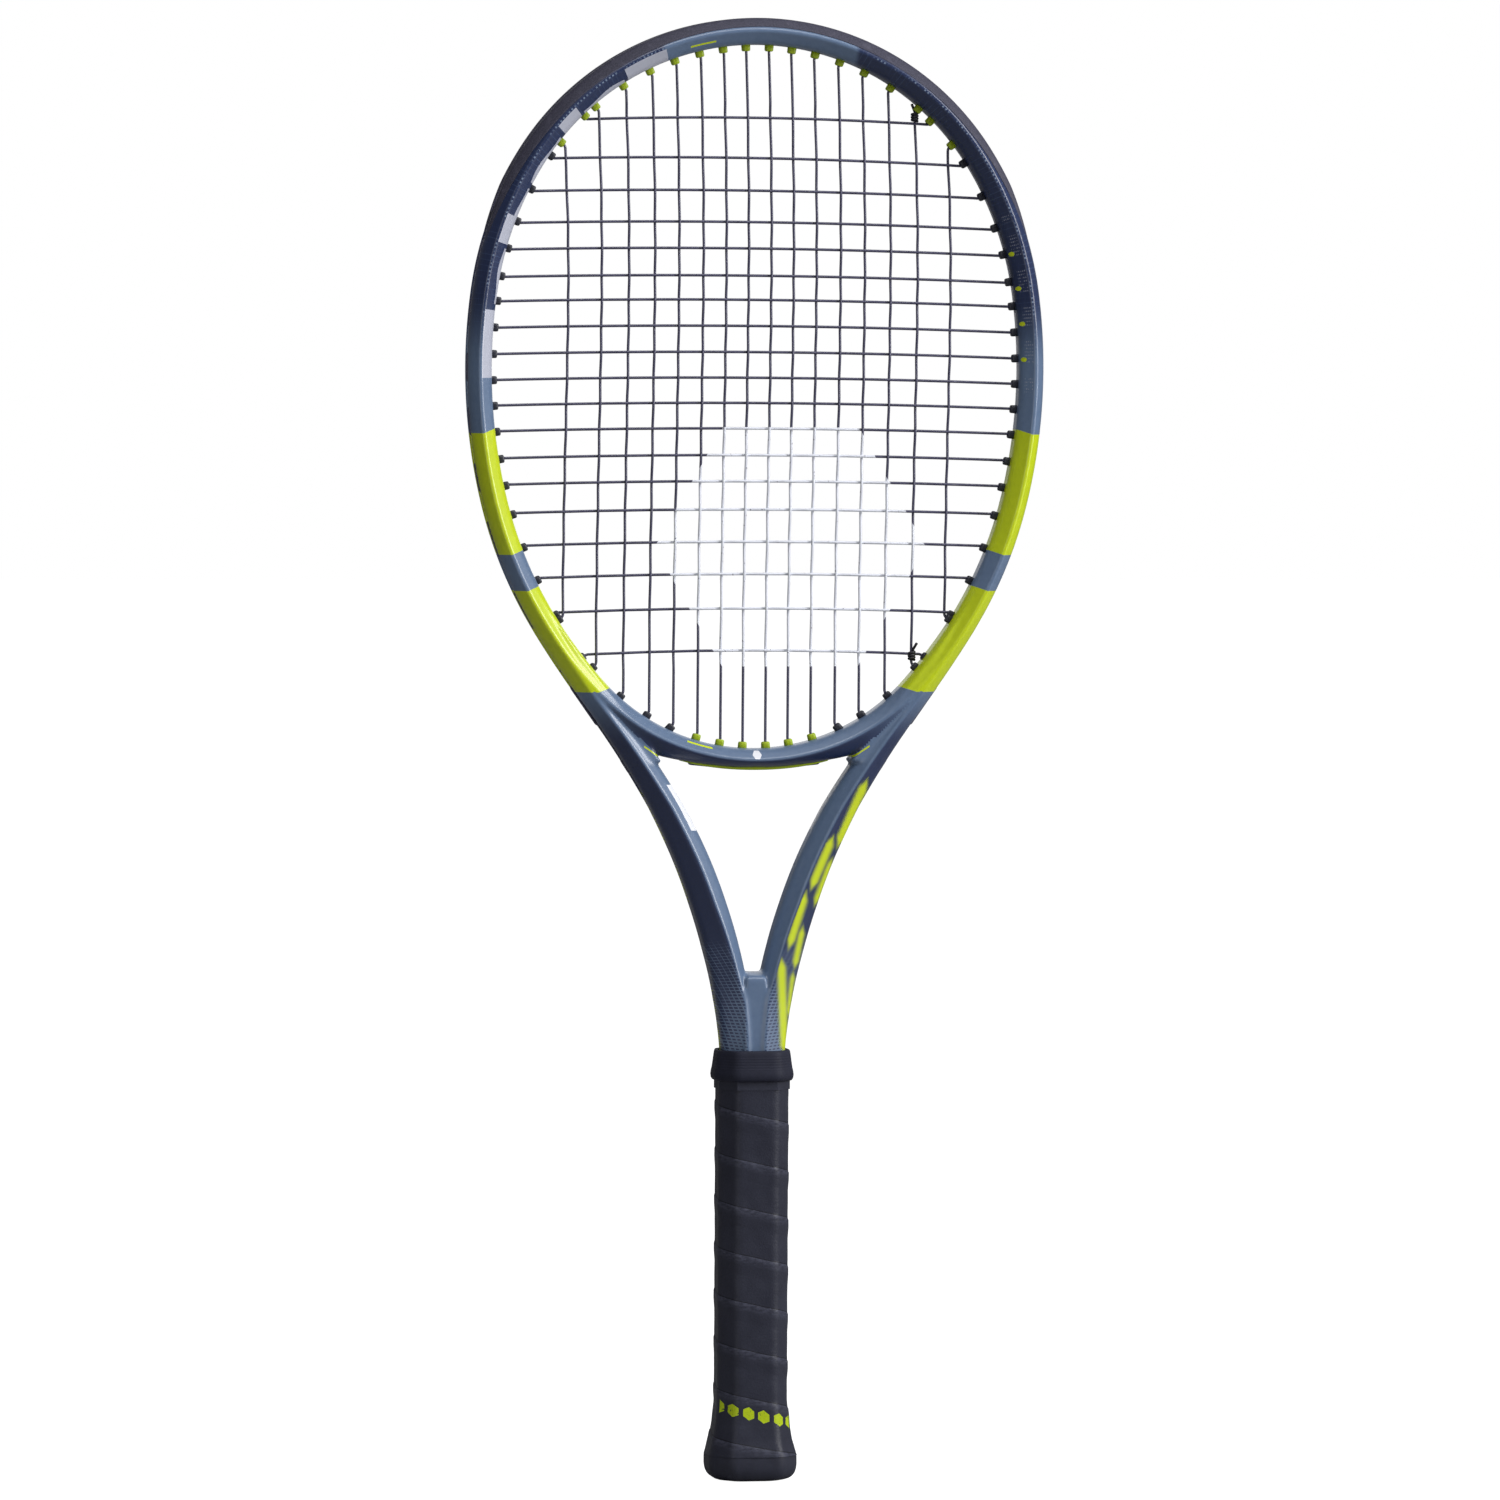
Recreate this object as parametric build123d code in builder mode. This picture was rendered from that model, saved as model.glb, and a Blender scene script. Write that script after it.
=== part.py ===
"""Tennis racket, 685 mm long, in millimetres.

+Z runs from the butt end (origin) to the head tip, the string bed lies in XZ, the front face looks to -Y.
The frame is one hairpin tube: hoop, two shafts and two tails inside the handle, closed by a throat bridge.
Its centreline is a chain of tangent arcs. A place on it is told by the angle of its outward normal:
90 degrees at the head tip, 0 at the widest point, and negative below it.
"""

import os
from math import atan2, cos, degrees, radians, sin, sqrt

from build123d import *

# Frame centreline (right half): (radius, normal angle at the arc's lower end)
TIP_Z = 678.25
HOOP_END = -36.5
HOOP_ARCS = [(125, 33), (157.2, 8), (260, -14), (200, -30), (510, HOOP_END)]
SHAFT_ARCS = [(410, -27), (280, -17), (195, 0)]  # these bend the other way, towards the handle

# Frame tube section: u points out of the hoop, v across its depth
TUBE_HALF = 5.75
TUBE_RIDGE_U = 0.9
TUBE_HALF_DEPTH = 12.0
TUBE_FLAT = 6.5
TUBE_WALL = 1.8
NECK_HALF = 8.2
NECK_HALF_DEPTH = 11.0
TAIL_HALF = 6.4
TAIL_GAP = 0.4  # between the two tails
TAIL_HALF_DEPTH = 9.5
TAIL_TOP_Z = 190.0
TAIL_END_Z = 9.0

# Throat bridge
BED_RADIUS = 100.0
BED_CENTRE_Z = 443.7
BRIDGE_LOW_Z = 334.8
BRIDGE_TOP_X = 86.0
BRIDGE_END_X = 58.0
BRIDGE_END_Z = 339.0
BRIDGE_HALF_DEPTH = 10.5
BRIDGE_CHAMFER = 3.2
BRIDGE_RISE = BRIDGE_END_Z - BRIDGE_LOW_Z
THROAT_RADIUS = (BRIDGE_END_X**2 + BRIDGE_RISE**2) / (2 * BRIDGE_RISE)
THROAT_CENTRE_Z = BRIDGE_LOW_Z + THROAT_RADIUS
THROAT_RECESS = 1.2
THROAT_PROUD = 1.0
THROAT_TURN = 1.6
THROAT_STRIP_X = 34.0
THROAT_STRIP_HALF = 4.3
WEB_TOP_Z = 239.0
WEB_HALF_DEPTH = 8.5
WEB_CORNERS = [(-7, WEB_TOP_Z), (7, WEB_TOP_Z), (2.5, 215), (-2.5, 215)]

# Strings and grommets
STRING_R = 0.65
MAIN_Y = -0.7
CROSS_Y = 0.7
MAIN_X = [5.4, 16.0, 26.9, 38.4, 49.9, 62.2, 75.1, 90.9]
CROSS_Z = [636.5, 617.7, 602.5, 587.8, 575.5, 562.8, 551.5, 539.3, 527.1, 515.1]
CROSS_Z += [503.3, 491.4, 478.9, 466.7, 453.5, 438.4, 423.3, 407.2, 387.3]
TUBE_FILLET = 2.4
HOLLOW_FILLET = 1.2
INNER_FLAT = 0.92  # of the outer flat
TAPER_Z = (360, 235)  # the shafts thicken between these heights
SIDE_LEAN = 30.0
SIDE_LEAN_GAIN = 0.72  # degrees more per mm outwards
SHOULDER_LEAN = 42.0  # degrees the fourth main leans out, to pass beside the throat's corner
BARREL_R = 1.6
BARREL_BORE_R = 0.85
BARREL_HOLE_R = 1.7
BARREL_LIP = 2.6
GROOVE_FLOOR = 3.25
GROOVE_HALF = 2.9
GROOVE_CUT = 8.0
STRIP_THICK = 0.8
STRIP_HALF = 2.8
HEAD_STRIP_END = 37.0  # normal angle
GROOVE_END = -31.0  # normal angle, on the shaft arcs
HEAD_LOOP_U = 5.9
SIDE_LOOP_U = 5.1
MOUTH_BEND = 4.8
MOUTH_RADIUS = 3.0
EXIT_RADIUS = 0.9
LOOP_RADIUS = 20.0

# Bumper guard
BUMPER_END = 18.0
BUMPER_THICK = 1.0
BUMPER_WEB = 0.8
BUMPER_RIM = [(3.5, 9.08), (4.3, 9.75)]  # (u, v) of the edge on the frame's slope
CHANNEL_HALF = 2.2

# Handle: the eight-sided outline over the wrap is (width, depth, front facet, side facet)
GRIP_OCTAGON = (33.3, 29.2, 19.0, 14.0)
WRAP = 1.8
SKIRT = 1.0
WRAP_LOW_Z = 12.0
WRAP_TOP_Z = 192.0
SKIRT_TOP_Z = 38.0
CAP_FLOOR = 3.0
# Butt flare: (height, width over the wrap)
CAP_END = [(0.0, 28.0), (0.6, 33.0), (2.0, 38.0), (4.2, 40.8), (7.5, 42.0), (WRAP_LOW_Z, 41.8)]
FLARE = [(WRAP_LOW_Z, 41.8), (15.0, 40.2), (19.5, 37.8), (27.0, 35.4), (SKIRT_TOP_Z, 33.3)]
DOOR_R = 6.8
DOOR_PLUG_R = 5.2
DOOR_GAP = 0.3
DOOR_RECESS = 0.5
DOOR_FLANGE = 1.2
COLLAR_LOW_Z = 188.0
COLLAR_TOP_Z = 202.5
COLLAR_GAP = 0.55
COLLAR_WALL = 1.2
FINISH_LOW_Z = 184.0
FINISH_THICK = 0.2

os.makedirs("parts", exist_ok=True)


def arc_chain():
    """The centreline's arcs as (centre x, centre z, signed radius, first angle, last angle)."""
    chain, x, z, angle = [], 0.0, TIP_Z, 90.0
    signed = [(r, end) for r, end in HOOP_ARCS] + [(-r, end) for r, end in SHAFT_ARCS]
    for radius, end in signed:
        cx, cz = x - radius * cos(radians(angle)), z - radius * sin(radians(angle))
        chain.append((cx, cz, radius, angle, end))
        x, z, angle = cx + radius * cos(radians(end)), cz + radius * sin(radians(end)), end
    return chain


ARCS = arc_chain()
HOOP, SHAFT = ARCS[: len(HOOP_ARCS)], ARCS[len(HOOP_ARCS):]


def on_arc(arc, angle, u=0.0):
    """The point (x, z) on an arc at a normal angle, u outside the centreline."""
    cx, cz, radius = arc[:3]
    return cx + (radius + u) * cos(radians(angle)), cz + (radius + u) * sin(radians(angle))


def on_hoop(angle, u=0.0):
    arc = next(a for a in HOOP if angle >= a[4] - 1e-6)
    return on_arc(arc, angle, u)


def section_plane(arc, angle):
    """Plane across the tube: its x points out of the hoop, its normal runs towards the butt."""
    x, z = on_arc(arc, angle)
    out = (cos(radians(angle)), 0, sin(radians(angle)))
    return Plane(origin=(x, 0, z), x_dir=out, z_dir=(sin(radians(angle)), 0, -cos(radians(angle))))


def chain_line(arcs, start, end, u=0.0):
    """Edges along the arcs between two normal angles, for use inside BuildLine(Plane.XZ)."""
    for arc in arcs:
        high, low = max(arc[3], arc[4]), min(arc[3], arc[4])
        if arc[2] > 0:
            first, last = min(start, high), max(end, low)
        else:
            first, last = max(start, low), min(end, high)
        if (first - last) * arc[2] > 1e-6:
            middle = (first + last) / 2
            ThreePointArc(on_arc(arc, first, u), on_arc(arc, middle, u), on_arc(arc, last, u))


def solve_angle(wanted, axis, high, low, u=0.0):
    """Normal angle on the hoop where coordinate 0 (x) or 1 (z) of the offset line is the wanted one."""
    rising = on_hoop(low, u)[axis] > on_hoop(high, u)[axis]
    for _ in range(50):
        middle = (high + low) / 2
        if (on_hoop(middle, u)[axis] < wanted) == rising:
            high = middle
        else:
            low = middle
    return (high + low) / 2


def outside(x, z):
    """How far outside the centreline a point is, on the lower hoop or the upper shaft."""
    best, value = 1e9, 0.0
    for arc in HOOP[2:] + SHAFT[:1]:
        for step in range(81):
            angle = arc[3] + (arc[4] - arc[3]) * step / 80
            px, pz = on_arc(arc, angle)
            gap = (x - px) ** 2 + (z - pz) ** 2
            if gap < best:
                best = gap
                value = (x - px) * cos(radians(angle)) + (z - pz) * sin(radians(angle))
    return value


def leave_at(x, z, lean, u):
    """Walk from a mouth along a direction, lean degrees off -Z, until u outside the centreline."""
    low, high = 0.0, 60.0
    for _ in range(30):
        middle = (low + high) / 2
        reach = outside(x + middle * sin(radians(lean)), z - middle * cos(radians(lean)))
        low, high = (middle, high) if reach < u else (low, middle)
    return low


# Each grommet: mouth (x, z) on the bed outline, outward direction (dx, dz), length to the groove floor,
# length to the string's turn outside, side (+1 right) and y of its string.
def hoop_grommet(angle, y):
    x, z = on_hoop(angle, -TUBE_HALF)
    step = (cos(radians(angle)), sin(radians(angle)))
    loop_u = HEAD_LOOP_U if angle > BUMPER_END else SIDE_LOOP_U
    return (x, z), step, TUBE_HALF + GROOVE_FLOOR, TUBE_HALF + loop_u, y


def shoulder_grommet(run_x, lean):
    step = (sin(radians(lean)), -cos(radians(lean)))
    x = run_x + MOUTH_BEND * step[0]
    z = BED_CENTRE_Z - sqrt(BED_RADIUS**2 - x**2)
    return (x, z), step, leave_at(x, z, lean, GROOVE_FLOOR), leave_at(x, z, lean, SIDE_LOOP_U), MAIN_Y


def throat_grommet(run_x):
    side = run_x / (BED_RADIUS - MOUTH_BEND)
    step = (side, -sqrt(1 - side**2))
    x = BED_RADIUS * side
    z = BED_CENTRE_Z - sqrt(BED_RADIUS**2 - x**2)
    floor = 0.0
    for _ in range(4):
        foot = THROAT_CENTRE_Z - sqrt((THROAT_RADIUS - THROAT_RECESS) ** 2 - (x + step[0] * floor) ** 2)
        floor = (foot - z) / step[1]
    return (x, z), step, floor, floor + THROAT_TURN, MAIN_Y


def mirrored(grommet):
    (x, z), (dx, dz), floor, turn, y = grommet
    return (-x, z), (-dx, dz), floor, turn, y


RUN_U = -TUBE_HALF - MOUTH_BEND  # where a string leaves its grommet's line for its straight run
main_top = [hoop_grommet(solve_angle(x, 0, 90, 10, RUN_U), MAIN_Y) for x in MAIN_X]
cross_side = [hoop_grommet(solve_angle(z, 1, 90, HOOP_END, RUN_U), CROSS_Y) for z in CROSS_Z]
main_foot = [throat_grommet(x) for x in MAIN_X[:3]]
main_foot.append(shoulder_grommet(MAIN_X[3], SHOULDER_LEAN))
for run_x in MAIN_X[4:7]:
    main_foot.append(shoulder_grommet(run_x, SIDE_LEAN + (run_x - MAIN_X[4]) * SIDE_LEAN_GAIN))
main_foot.append(hoop_grommet(solve_angle(MAIN_X[7], 0, 0, HOOP_END, RUN_U), MAIN_Y))

head_set = main_top + cross_side[:1]
side_set = cross_side[1:] + main_foot[3:]
throat_set = main_foot[:3]


def barrel_plane(grommet, along):
    """Plane square to a grommet, at a length from its mouth on the bed outline."""
    (x, z), (dx, dz), _, _, y = grommet
    return Plane(origin=(x + dx * along, y, z + dz * along), x_dir=(0, 1, 0), z_dir=(dx, 0, dz))


def rods(grommets, radius, start, beyond_floor):
    """Round rods along grommets, from start (from the mouth) to a length past the groove floor."""
    with BuildPart() as bundle:
        for grommet in grommets:
            with BuildSketch(barrel_plane(grommet, start)):
                Circle(radius)
            extrude(amount=grommet[2] + beyond_floor - start)
    return bundle.part


def both(grommets):
    return list(grommets) + [mirrored(g) for g in grommets]


# ---------------------------------------------------------------- frame
def tube_outline(half, ridge, half_depth, flat, inset=0.0):
    """Rounded six-sided tube section with a ridge front and back, in (u, v)."""
    points = [(half, flat), (ridge, half_depth), (-half, flat * INNER_FLAT)]
    points += [(-half, -flat * INNER_FLAT), (ridge, -half_depth), (half, -flat)]
    with BuildSketch(mode=Mode.PRIVATE) as outline:
        Polygon(*points, align=None)
        if inset:
            offset(amount=-inset, kind=Kind.INTERSECTION)
        fillet(outline.vertices(), HOLLOW_FILLET if inset else TUBE_FILLET)
    return outline.sketch


def shaft_stations():
    """(plane, half width, half depth) down the shaft, then into the handle."""
    places = []
    for arc, angles in zip(SHAFT, [(HOOP_END, -32), (-27, -22), (-17, -11, -5, 0)]):
        for angle in angles:
            z = on_arc(arc, angle)[1]
            share = min(1.0, max(0.0, (TAPER_Z[0] - z) / (TAPER_Z[0] - TAPER_Z[1])))
            grown = share * (2 - share)
            half = TUBE_HALF + (NECK_HALF - TUBE_HALF) * grown
            depth = TUBE_HALF_DEPTH + (NECK_HALF_DEPTH - TUBE_HALF_DEPTH) * share
            places.append((section_plane(arc, angle), half, depth))
    return places


def tube_body(inset):
    """Right half of the hairpin, solid: the outside with inset 0, the hollow with the wall as inset."""
    with BuildPart() as body:
        with BuildLine(Plane.XZ) as hoop_line:
            chain_line(HOOP, 90, HOOP_END)
        with BuildSketch(section_plane(HOOP[0], 90)):
            add(tube_outline(TUBE_HALF, TUBE_RIDGE_U, TUBE_HALF_DEPTH, TUBE_FLAT, inset))
        sweep(path=hoop_line.wires()[0])
        for plane, half, depth in shaft_stations():
            with BuildSketch(plane):
                add(tube_outline(half, TUBE_RIDGE_U, depth, TUBE_FLAT, inset))
        loft()
    return body.part


def tail_body(inset):
    """The right tail, from the neck down inside the handle."""
    neck_x, neck_z = on_arc(SHAFT[-1], 0)
    tail_x = TAIL_HALF + TAIL_GAP / 2
    tail_plane = Plane((tail_x, 0, TAIL_TOP_Z), x_dir=(1, 0, 0), z_dir=(0, 0, -1))
    with BuildPart() as tail:
        with BuildSketch(Plane((neck_x, 0, neck_z), x_dir=(1, 0, 0), z_dir=(0, 0, -1))):
            add(tube_outline(NECK_HALF, TUBE_RIDGE_U, NECK_HALF_DEPTH, TUBE_FLAT, inset))
        with BuildSketch(tail_plane):
            add(tube_outline(TAIL_HALF, TUBE_RIDGE_U, TAIL_HALF_DEPTH, TUBE_FLAT, inset))
        loft()
        with BuildSketch(tail_plane):
            add(tube_outline(TAIL_HALF, TUBE_RIDGE_U, TAIL_HALF_DEPTH, TUBE_FLAT, inset))
        extrude(amount=TAIL_TOP_Z - TAIL_END_Z)
    return tail.part


with BuildPart() as frame_outside:
    add(tube_body(0))
    add(tail_body(0))
    mirror(about=Plane.YZ)

with BuildPart() as frame_hollow:
    add(tube_body(TUBE_WALL))
    add(tail_body(TUBE_WALL))
    mirror(about=Plane.YZ)

with BuildPart() as string_groove:
    with BuildLine(Plane.XZ) as groove_line:
        chain_line(HOOP, 90, HOOP_END)
    with BuildSketch(section_plane(HOOP[0], 90)):
        with Locations((GROOVE_FLOOR, 0)):
            Rectangle(GROOVE_CUT, 2 * GROOVE_HALF, align=(Align.MIN, Align.CENTER))
    sweep(path=groove_line.wires()[0])
    with BuildLine(Plane.XZ) as shaft_groove_line:
        chain_line(SHAFT, HOOP_END, GROOVE_END)
    with BuildSketch(section_plane(SHAFT[0], HOOP_END)):
        with Locations((GROOVE_FLOOR, 0)):
            Rectangle(GROOVE_CUT, 2 * GROOVE_HALF, align=(Align.MIN, Align.CENTER))
    sweep(path=shaft_groove_line.wires()[0])
    mirror(about=Plane.YZ)

grommet_holes = rods(both(head_set + side_set + throat_set), BARREL_HOLE_R, -BARREL_LIP - 1.0, 8.0)

with BuildPart() as frame_hairpin:
    add(frame_outside.part)
    add(frame_hollow.part, mode=Mode.SUBTRACT)
    add(string_groove.part, mode=Mode.SUBTRACT)
    add(grommet_holes, mode=Mode.SUBTRACT)
frame_hairpin.part.label = "frame_hairpin"
export_step(frame_hairpin.part, "parts/frame_hairpin.step")


# ---------------------------------------------------------------- throat bridge and web
def bridge_profile(inset):
    """The bridge seen from the front: between the bed's round foot and the throat's flat top."""
    top_z = BED_CENTRE_Z - sqrt(BED_RADIUS**2 - BRIDGE_TOP_X**2)
    right_side = [(BRIDGE_TOP_X, top_z), on_hoop(-33), on_hoop(HOOP_END), (BRIDGE_END_X, BRIDGE_END_Z)]
    with BuildSketch(mode=Mode.PRIVATE) as profile:
        with BuildLine():
            ThreePointArc((-BRIDGE_TOP_X, top_z), (0, BED_CENTRE_Z - BED_RADIUS), (BRIDGE_TOP_X, top_z))
            Polyline(*right_side)
            ThreePointArc(right_side[-1], (0, BRIDGE_LOW_Z), (-BRIDGE_END_X, BRIDGE_END_Z))
            Polyline(*[(-x, z) for x, z in reversed(right_side)])
        make_face()
        if inset:
            offset(amount=-inset, kind=Kind.INTERSECTION)
    return profile.sketch


def throat_band(inner, outer, half_x):
    """Band along the throat's top between two heights below the bridge's face, seen from the front."""
    def foot(drop):
        return THROAT_CENTRE_Z - sqrt((THROAT_RADIUS + drop) ** 2 - half_x**2)

    with BuildSketch(mode=Mode.PRIVATE) as band:
        with BuildLine():
            middle = BRIDGE_LOW_Z - inner
            ThreePointArc((-half_x, foot(inner)), (0, middle), (half_x, foot(inner)))
            Line((half_x, foot(inner)), (half_x, foot(outer)))
            ThreePointArc((half_x, foot(outer)), (0, BRIDGE_LOW_Z - outer), (-half_x, foot(outer)))
            Line((-half_x, foot(outer)), (-half_x, foot(inner)))
        make_face()
    return band.sketch


def slab(profile, half_depth):
    """A front-view profile as a plate, half_depth to each side of the bed's plane."""
    with BuildPart() as plate:
        with BuildSketch(Plane.XZ.offset(-half_depth)):
            add(profile)
        extrude(amount=2 * half_depth)
    return plate.part


with BuildPart() as throat_bridge:
    with BuildSketch(Plane.XZ.offset(BRIDGE_HALF_DEPTH - BRIDGE_CHAMFER)):
        add(bridge_profile(0))
    extrude(amount=BRIDGE_CHAMFER, taper=45)
    mirror(about=Plane.XZ)
    add(slab(bridge_profile(0), BRIDGE_HALF_DEPTH - BRIDGE_CHAMFER))
    add(slab(bridge_profile(TUBE_WALL), BRIDGE_HALF_DEPTH - BRIDGE_CHAMFER), mode=Mode.SUBTRACT)
    throat_seat = throat_band(-THROAT_RECESS, THROAT_PROUD, THROAT_STRIP_X + 0.2)
    add(slab(throat_seat, THROAT_STRIP_HALF + 0.1), mode=Mode.SUBTRACT)
    add(frame_outside.part, mode=Mode.SUBTRACT)
    add(grommet_holes, mode=Mode.SUBTRACT)
throat_bridge.part.label = "throat_bridge"
export_step(throat_bridge.part, "parts/throat_bridge.step")

with BuildPart() as throat_web:
    with BuildSketch(Plane.XZ.offset(-WEB_HALF_DEPTH)):
        Polygon(*WEB_CORNERS, align=None)
    extrude(amount=2 * WEB_HALF_DEPTH)
    add(frame_outside.part, mode=Mode.SUBTRACT)
throat_web.part.label = "throat_web"
export_step(throat_web.part, "parts/throat_web.step")


# ---------------------------------------------------------------- bumper and grommet strips
def groove_band(hoop_from, hoop_to, shaft_to=None):
    """Right-hand strip lying on the groove's floor between two normal angles."""
    with BuildPart() as band:
        with BuildLine(Plane.XZ) as hoop_line:
            chain_line(HOOP, hoop_from, hoop_to)
        arc = next(a for a in HOOP if hoop_from > a[4] + 1e-6)
        with BuildSketch(section_plane(arc, hoop_from)):
            with Locations((GROOVE_FLOOR, 0)):
                Rectangle(STRIP_THICK, 2 * STRIP_HALF, align=(Align.MIN, Align.CENTER))
        sweep(path=hoop_line.wires()[0])
        if shaft_to is not None:
            with BuildLine(Plane.XZ) as shaft_line:
                chain_line(SHAFT, SHAFT[0][3], shaft_to)
            with BuildSketch(section_plane(SHAFT[0], SHAFT[0][3])):
                with Locations((GROOVE_FLOOR, 0)):
                    Rectangle(STRIP_THICK, 2 * STRIP_HALF, align=(Align.MIN, Align.CENTER))
            sweep(path=shaft_line.wires()[0])
    return band.part


with BuildPart() as head_grommet_strip:
    add(groove_band(90, HEAD_STRIP_END))
    mirror(about=Plane.YZ)
    add(rods(both(head_set), BARREL_R, -BARREL_LIP, STRIP_THICK / 2))
    add(rods(both(head_set), BARREL_BORE_R, -BARREL_LIP - 1, 3.0), mode=Mode.SUBTRACT)
head_grommet_strip.part.label = "head_grommet_strip"
export_step(head_grommet_strip.part, "parts/head_grommet_strip.step")

with BuildPart() as side_grommet_strip_right:
    add(groove_band(HEAD_STRIP_END - 0.4, SHAFT[0][3], GROOVE_END + 0.2))
    add(rods(side_set, BARREL_R, -BARREL_LIP, STRIP_THICK / 2))
    add(rods(side_set, BARREL_BORE_R, -BARREL_LIP - 1, 3.0), mode=Mode.SUBTRACT)
side_grommet_strip_right.part.label = "side_grommet_strip_right"
export_step(side_grommet_strip_right.part, "parts/side_grommet_strip_right.step")

with BuildPart() as side_grommet_strip_left:
    mirror(side_grommet_strip_right.part, about=Plane.YZ)
side_grommet_strip_left.part.label = "side_grommet_strip_left"
export_step(side_grommet_strip_left.part, "parts/side_grommet_strip_left.step")

with BuildPart() as throat_grommet_strip:
    add(slab(throat_band(-THROAT_RECESS, THROAT_PROUD, THROAT_STRIP_X), THROAT_STRIP_HALF))
    channel = throat_band(-THROAT_RECESS + STRIP_THICK, THROAT_PROUD + 0.5, THROAT_STRIP_X)
    add(slab(channel, CHANNEL_HALF), mode=Mode.SUBTRACT)
    add(rods(both(throat_set), BARREL_R, -BARREL_LIP, STRIP_THICK / 2))
    add(rods(both(throat_set), BARREL_BORE_R, -BARREL_LIP - 1, 3.0), mode=Mode.SUBTRACT)
throat_grommet_strip.part.label = "throat_grommet_strip"
export_step(throat_grommet_strip.part, "parts/throat_grommet_strip.step")

web_u = GROOVE_FLOOR + STRIP_THICK
bumper_edge = [
    (web_u, STRIP_HALF),
    (TUBE_HALF, STRIP_HALF),
    (TUBE_HALF, TUBE_FLAT),
    BUMPER_RIM[0],
    BUMPER_RIM[1],
    (TUBE_HALF + BUMPER_THICK, 7.0),
    (TUBE_HALF + BUMPER_THICK, CHANNEL_HALF),
    (web_u + BUMPER_WEB, CHANNEL_HALF),
]
with BuildPart() as bumper_guard:
    with BuildLine(Plane.XZ) as bumper_line:
        chain_line(HOOP, 90, BUMPER_END)
    with BuildSketch(section_plane(HOOP[0], 90)):
        Polygon(*bumper_edge, *[(u, -v) for u, v in reversed(bumper_edge)], align=None)
    sweep(path=bumper_line.wires()[0])
    mirror(about=Plane.YZ)
    under_bumper = head_set + [g for g in side_set if g[3] == TUBE_HALF + HEAD_LOOP_U]
    add(rods(both(under_bumper), BARREL_BORE_R, 6.0, 3.0), mode=Mode.SUBTRACT)
bumper_guard.part.label = "bumper_guard"
export_step(bumper_guard.part, "parts/bumper_guard.step")


# ---------------------------------------------------------------- strings
def string_ends(grommet):
    """The string's turn outside the frame and its bend inside the bed, as (x, z) points."""
    (x, z), (dx, dz), _, turn, _ = grommet
    return (x + dx * turn, z + dz * turn), (x - dx * MOUTH_BEND, z - dz * MOUTH_BEND)


def loop_middle(first, second):
    """The middle of a loop in the hoop's groove, or none where the loop runs straight."""
    bearings = [degrees(atan2(g[1][1], abs(g[1][0]))) for g in (first, second)]
    turns = {TUBE_HALF + HEAD_LOOP_U, TUBE_HALF + SIDE_LOOP_U}
    if first[3] not in turns or second[3] not in turns or first[1][0] * second[1][0] < 0:
        return []
    x, z = on_hoop(sum(bearings) / 2, (first[3] + second[3]) / 2 - TUBE_HALF)
    return [((x if first[1][0] > 0 else -x, z), LOOP_RADIUS)]


def string_route(first_row, second_row):
    """(point, bend radius) of one string that runs to and fro between two rows of grommets."""
    route = []
    for number, (first, second) in enumerate(zip(first_row, second_row)):
        near, far = (first, second) if number % 2 == 0 else (second, first)
        if route:
            route += loop_middle(last, near)
        (turn_a, bend_a), (turn_b, bend_b) = string_ends(near), string_ends(far)
        route += [(turn_a, EXIT_RADIUS), (bend_a, MOUTH_RADIUS)]
        route += [(bend_b, MOUTH_RADIUS), (turn_b, EXIT_RADIUS)]
        last = far
    return route


def string_body(stops, y):
    """One round string through the stops, with tight turns outside the frame and easy bends inside."""
    with BuildPart() as body:
        with BuildLine(Plane.XZ.offset(-y)) as route:
            FilletPolyline(*[point for point, _ in stops], radius=[radius for _, radius in stops[1:-1]])
        start, direction = route.line @ 0, route.line % 0
        with BuildSketch(Plane(origin=start, z_dir=direction)):
            Circle(STRING_R)
        sweep(path=route.wires()[0])
    return body.part


def left_to_right(row):
    return [mirrored(g) for g in reversed(row)] + list(row)


main_stops = string_route(left_to_right(main_foot), left_to_right(main_top))
cross_stops = string_route(cross_side, [mirrored(g) for g in cross_side])

with BuildPart() as main_string:
    add(string_body(main_stops, MAIN_Y))
main_string.part.label = "main_string"
export_step(main_string.part, "parts/main_string.step")

with BuildPart() as cross_string:
    add(string_body(cross_stops, CROSS_Y))
cross_string.part.label = "cross_string"
export_step(cross_string.part, "parts/cross_string.step")

# A tie-off knot grips the seventh main by each end of the string job, on the front, right of centre
KNOT_R = 1.9
KNOT_OUT = 1.3
KNOT_TAIL = 5.0
KNOT_TAIL_WAY = (0.5, -0.2, 1)
KNOT_Z = [639.5, 388.0]

with BuildPart() as tie_off_knots:
    for knot_z in KNOT_Z:
        with Locations((MAIN_X[6], MAIN_Y - KNOT_OUT, knot_z)):
            Sphere(KNOT_R)
        with BuildSketch(Plane((MAIN_X[6], MAIN_Y - KNOT_OUT - KNOT_R / 2, knot_z), z_dir=KNOT_TAIL_WAY)):
            Circle(STRING_R)
        extrude(amount=KNOT_TAIL)
    add(main_string.part, mode=Mode.SUBTRACT)
    add(cross_string.part, mode=Mode.SUBTRACT)
tie_off_knots.part.label = "tie_off_knots"
export_step(tie_off_knots.part, "parts/tie_off_knots.step")


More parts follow.
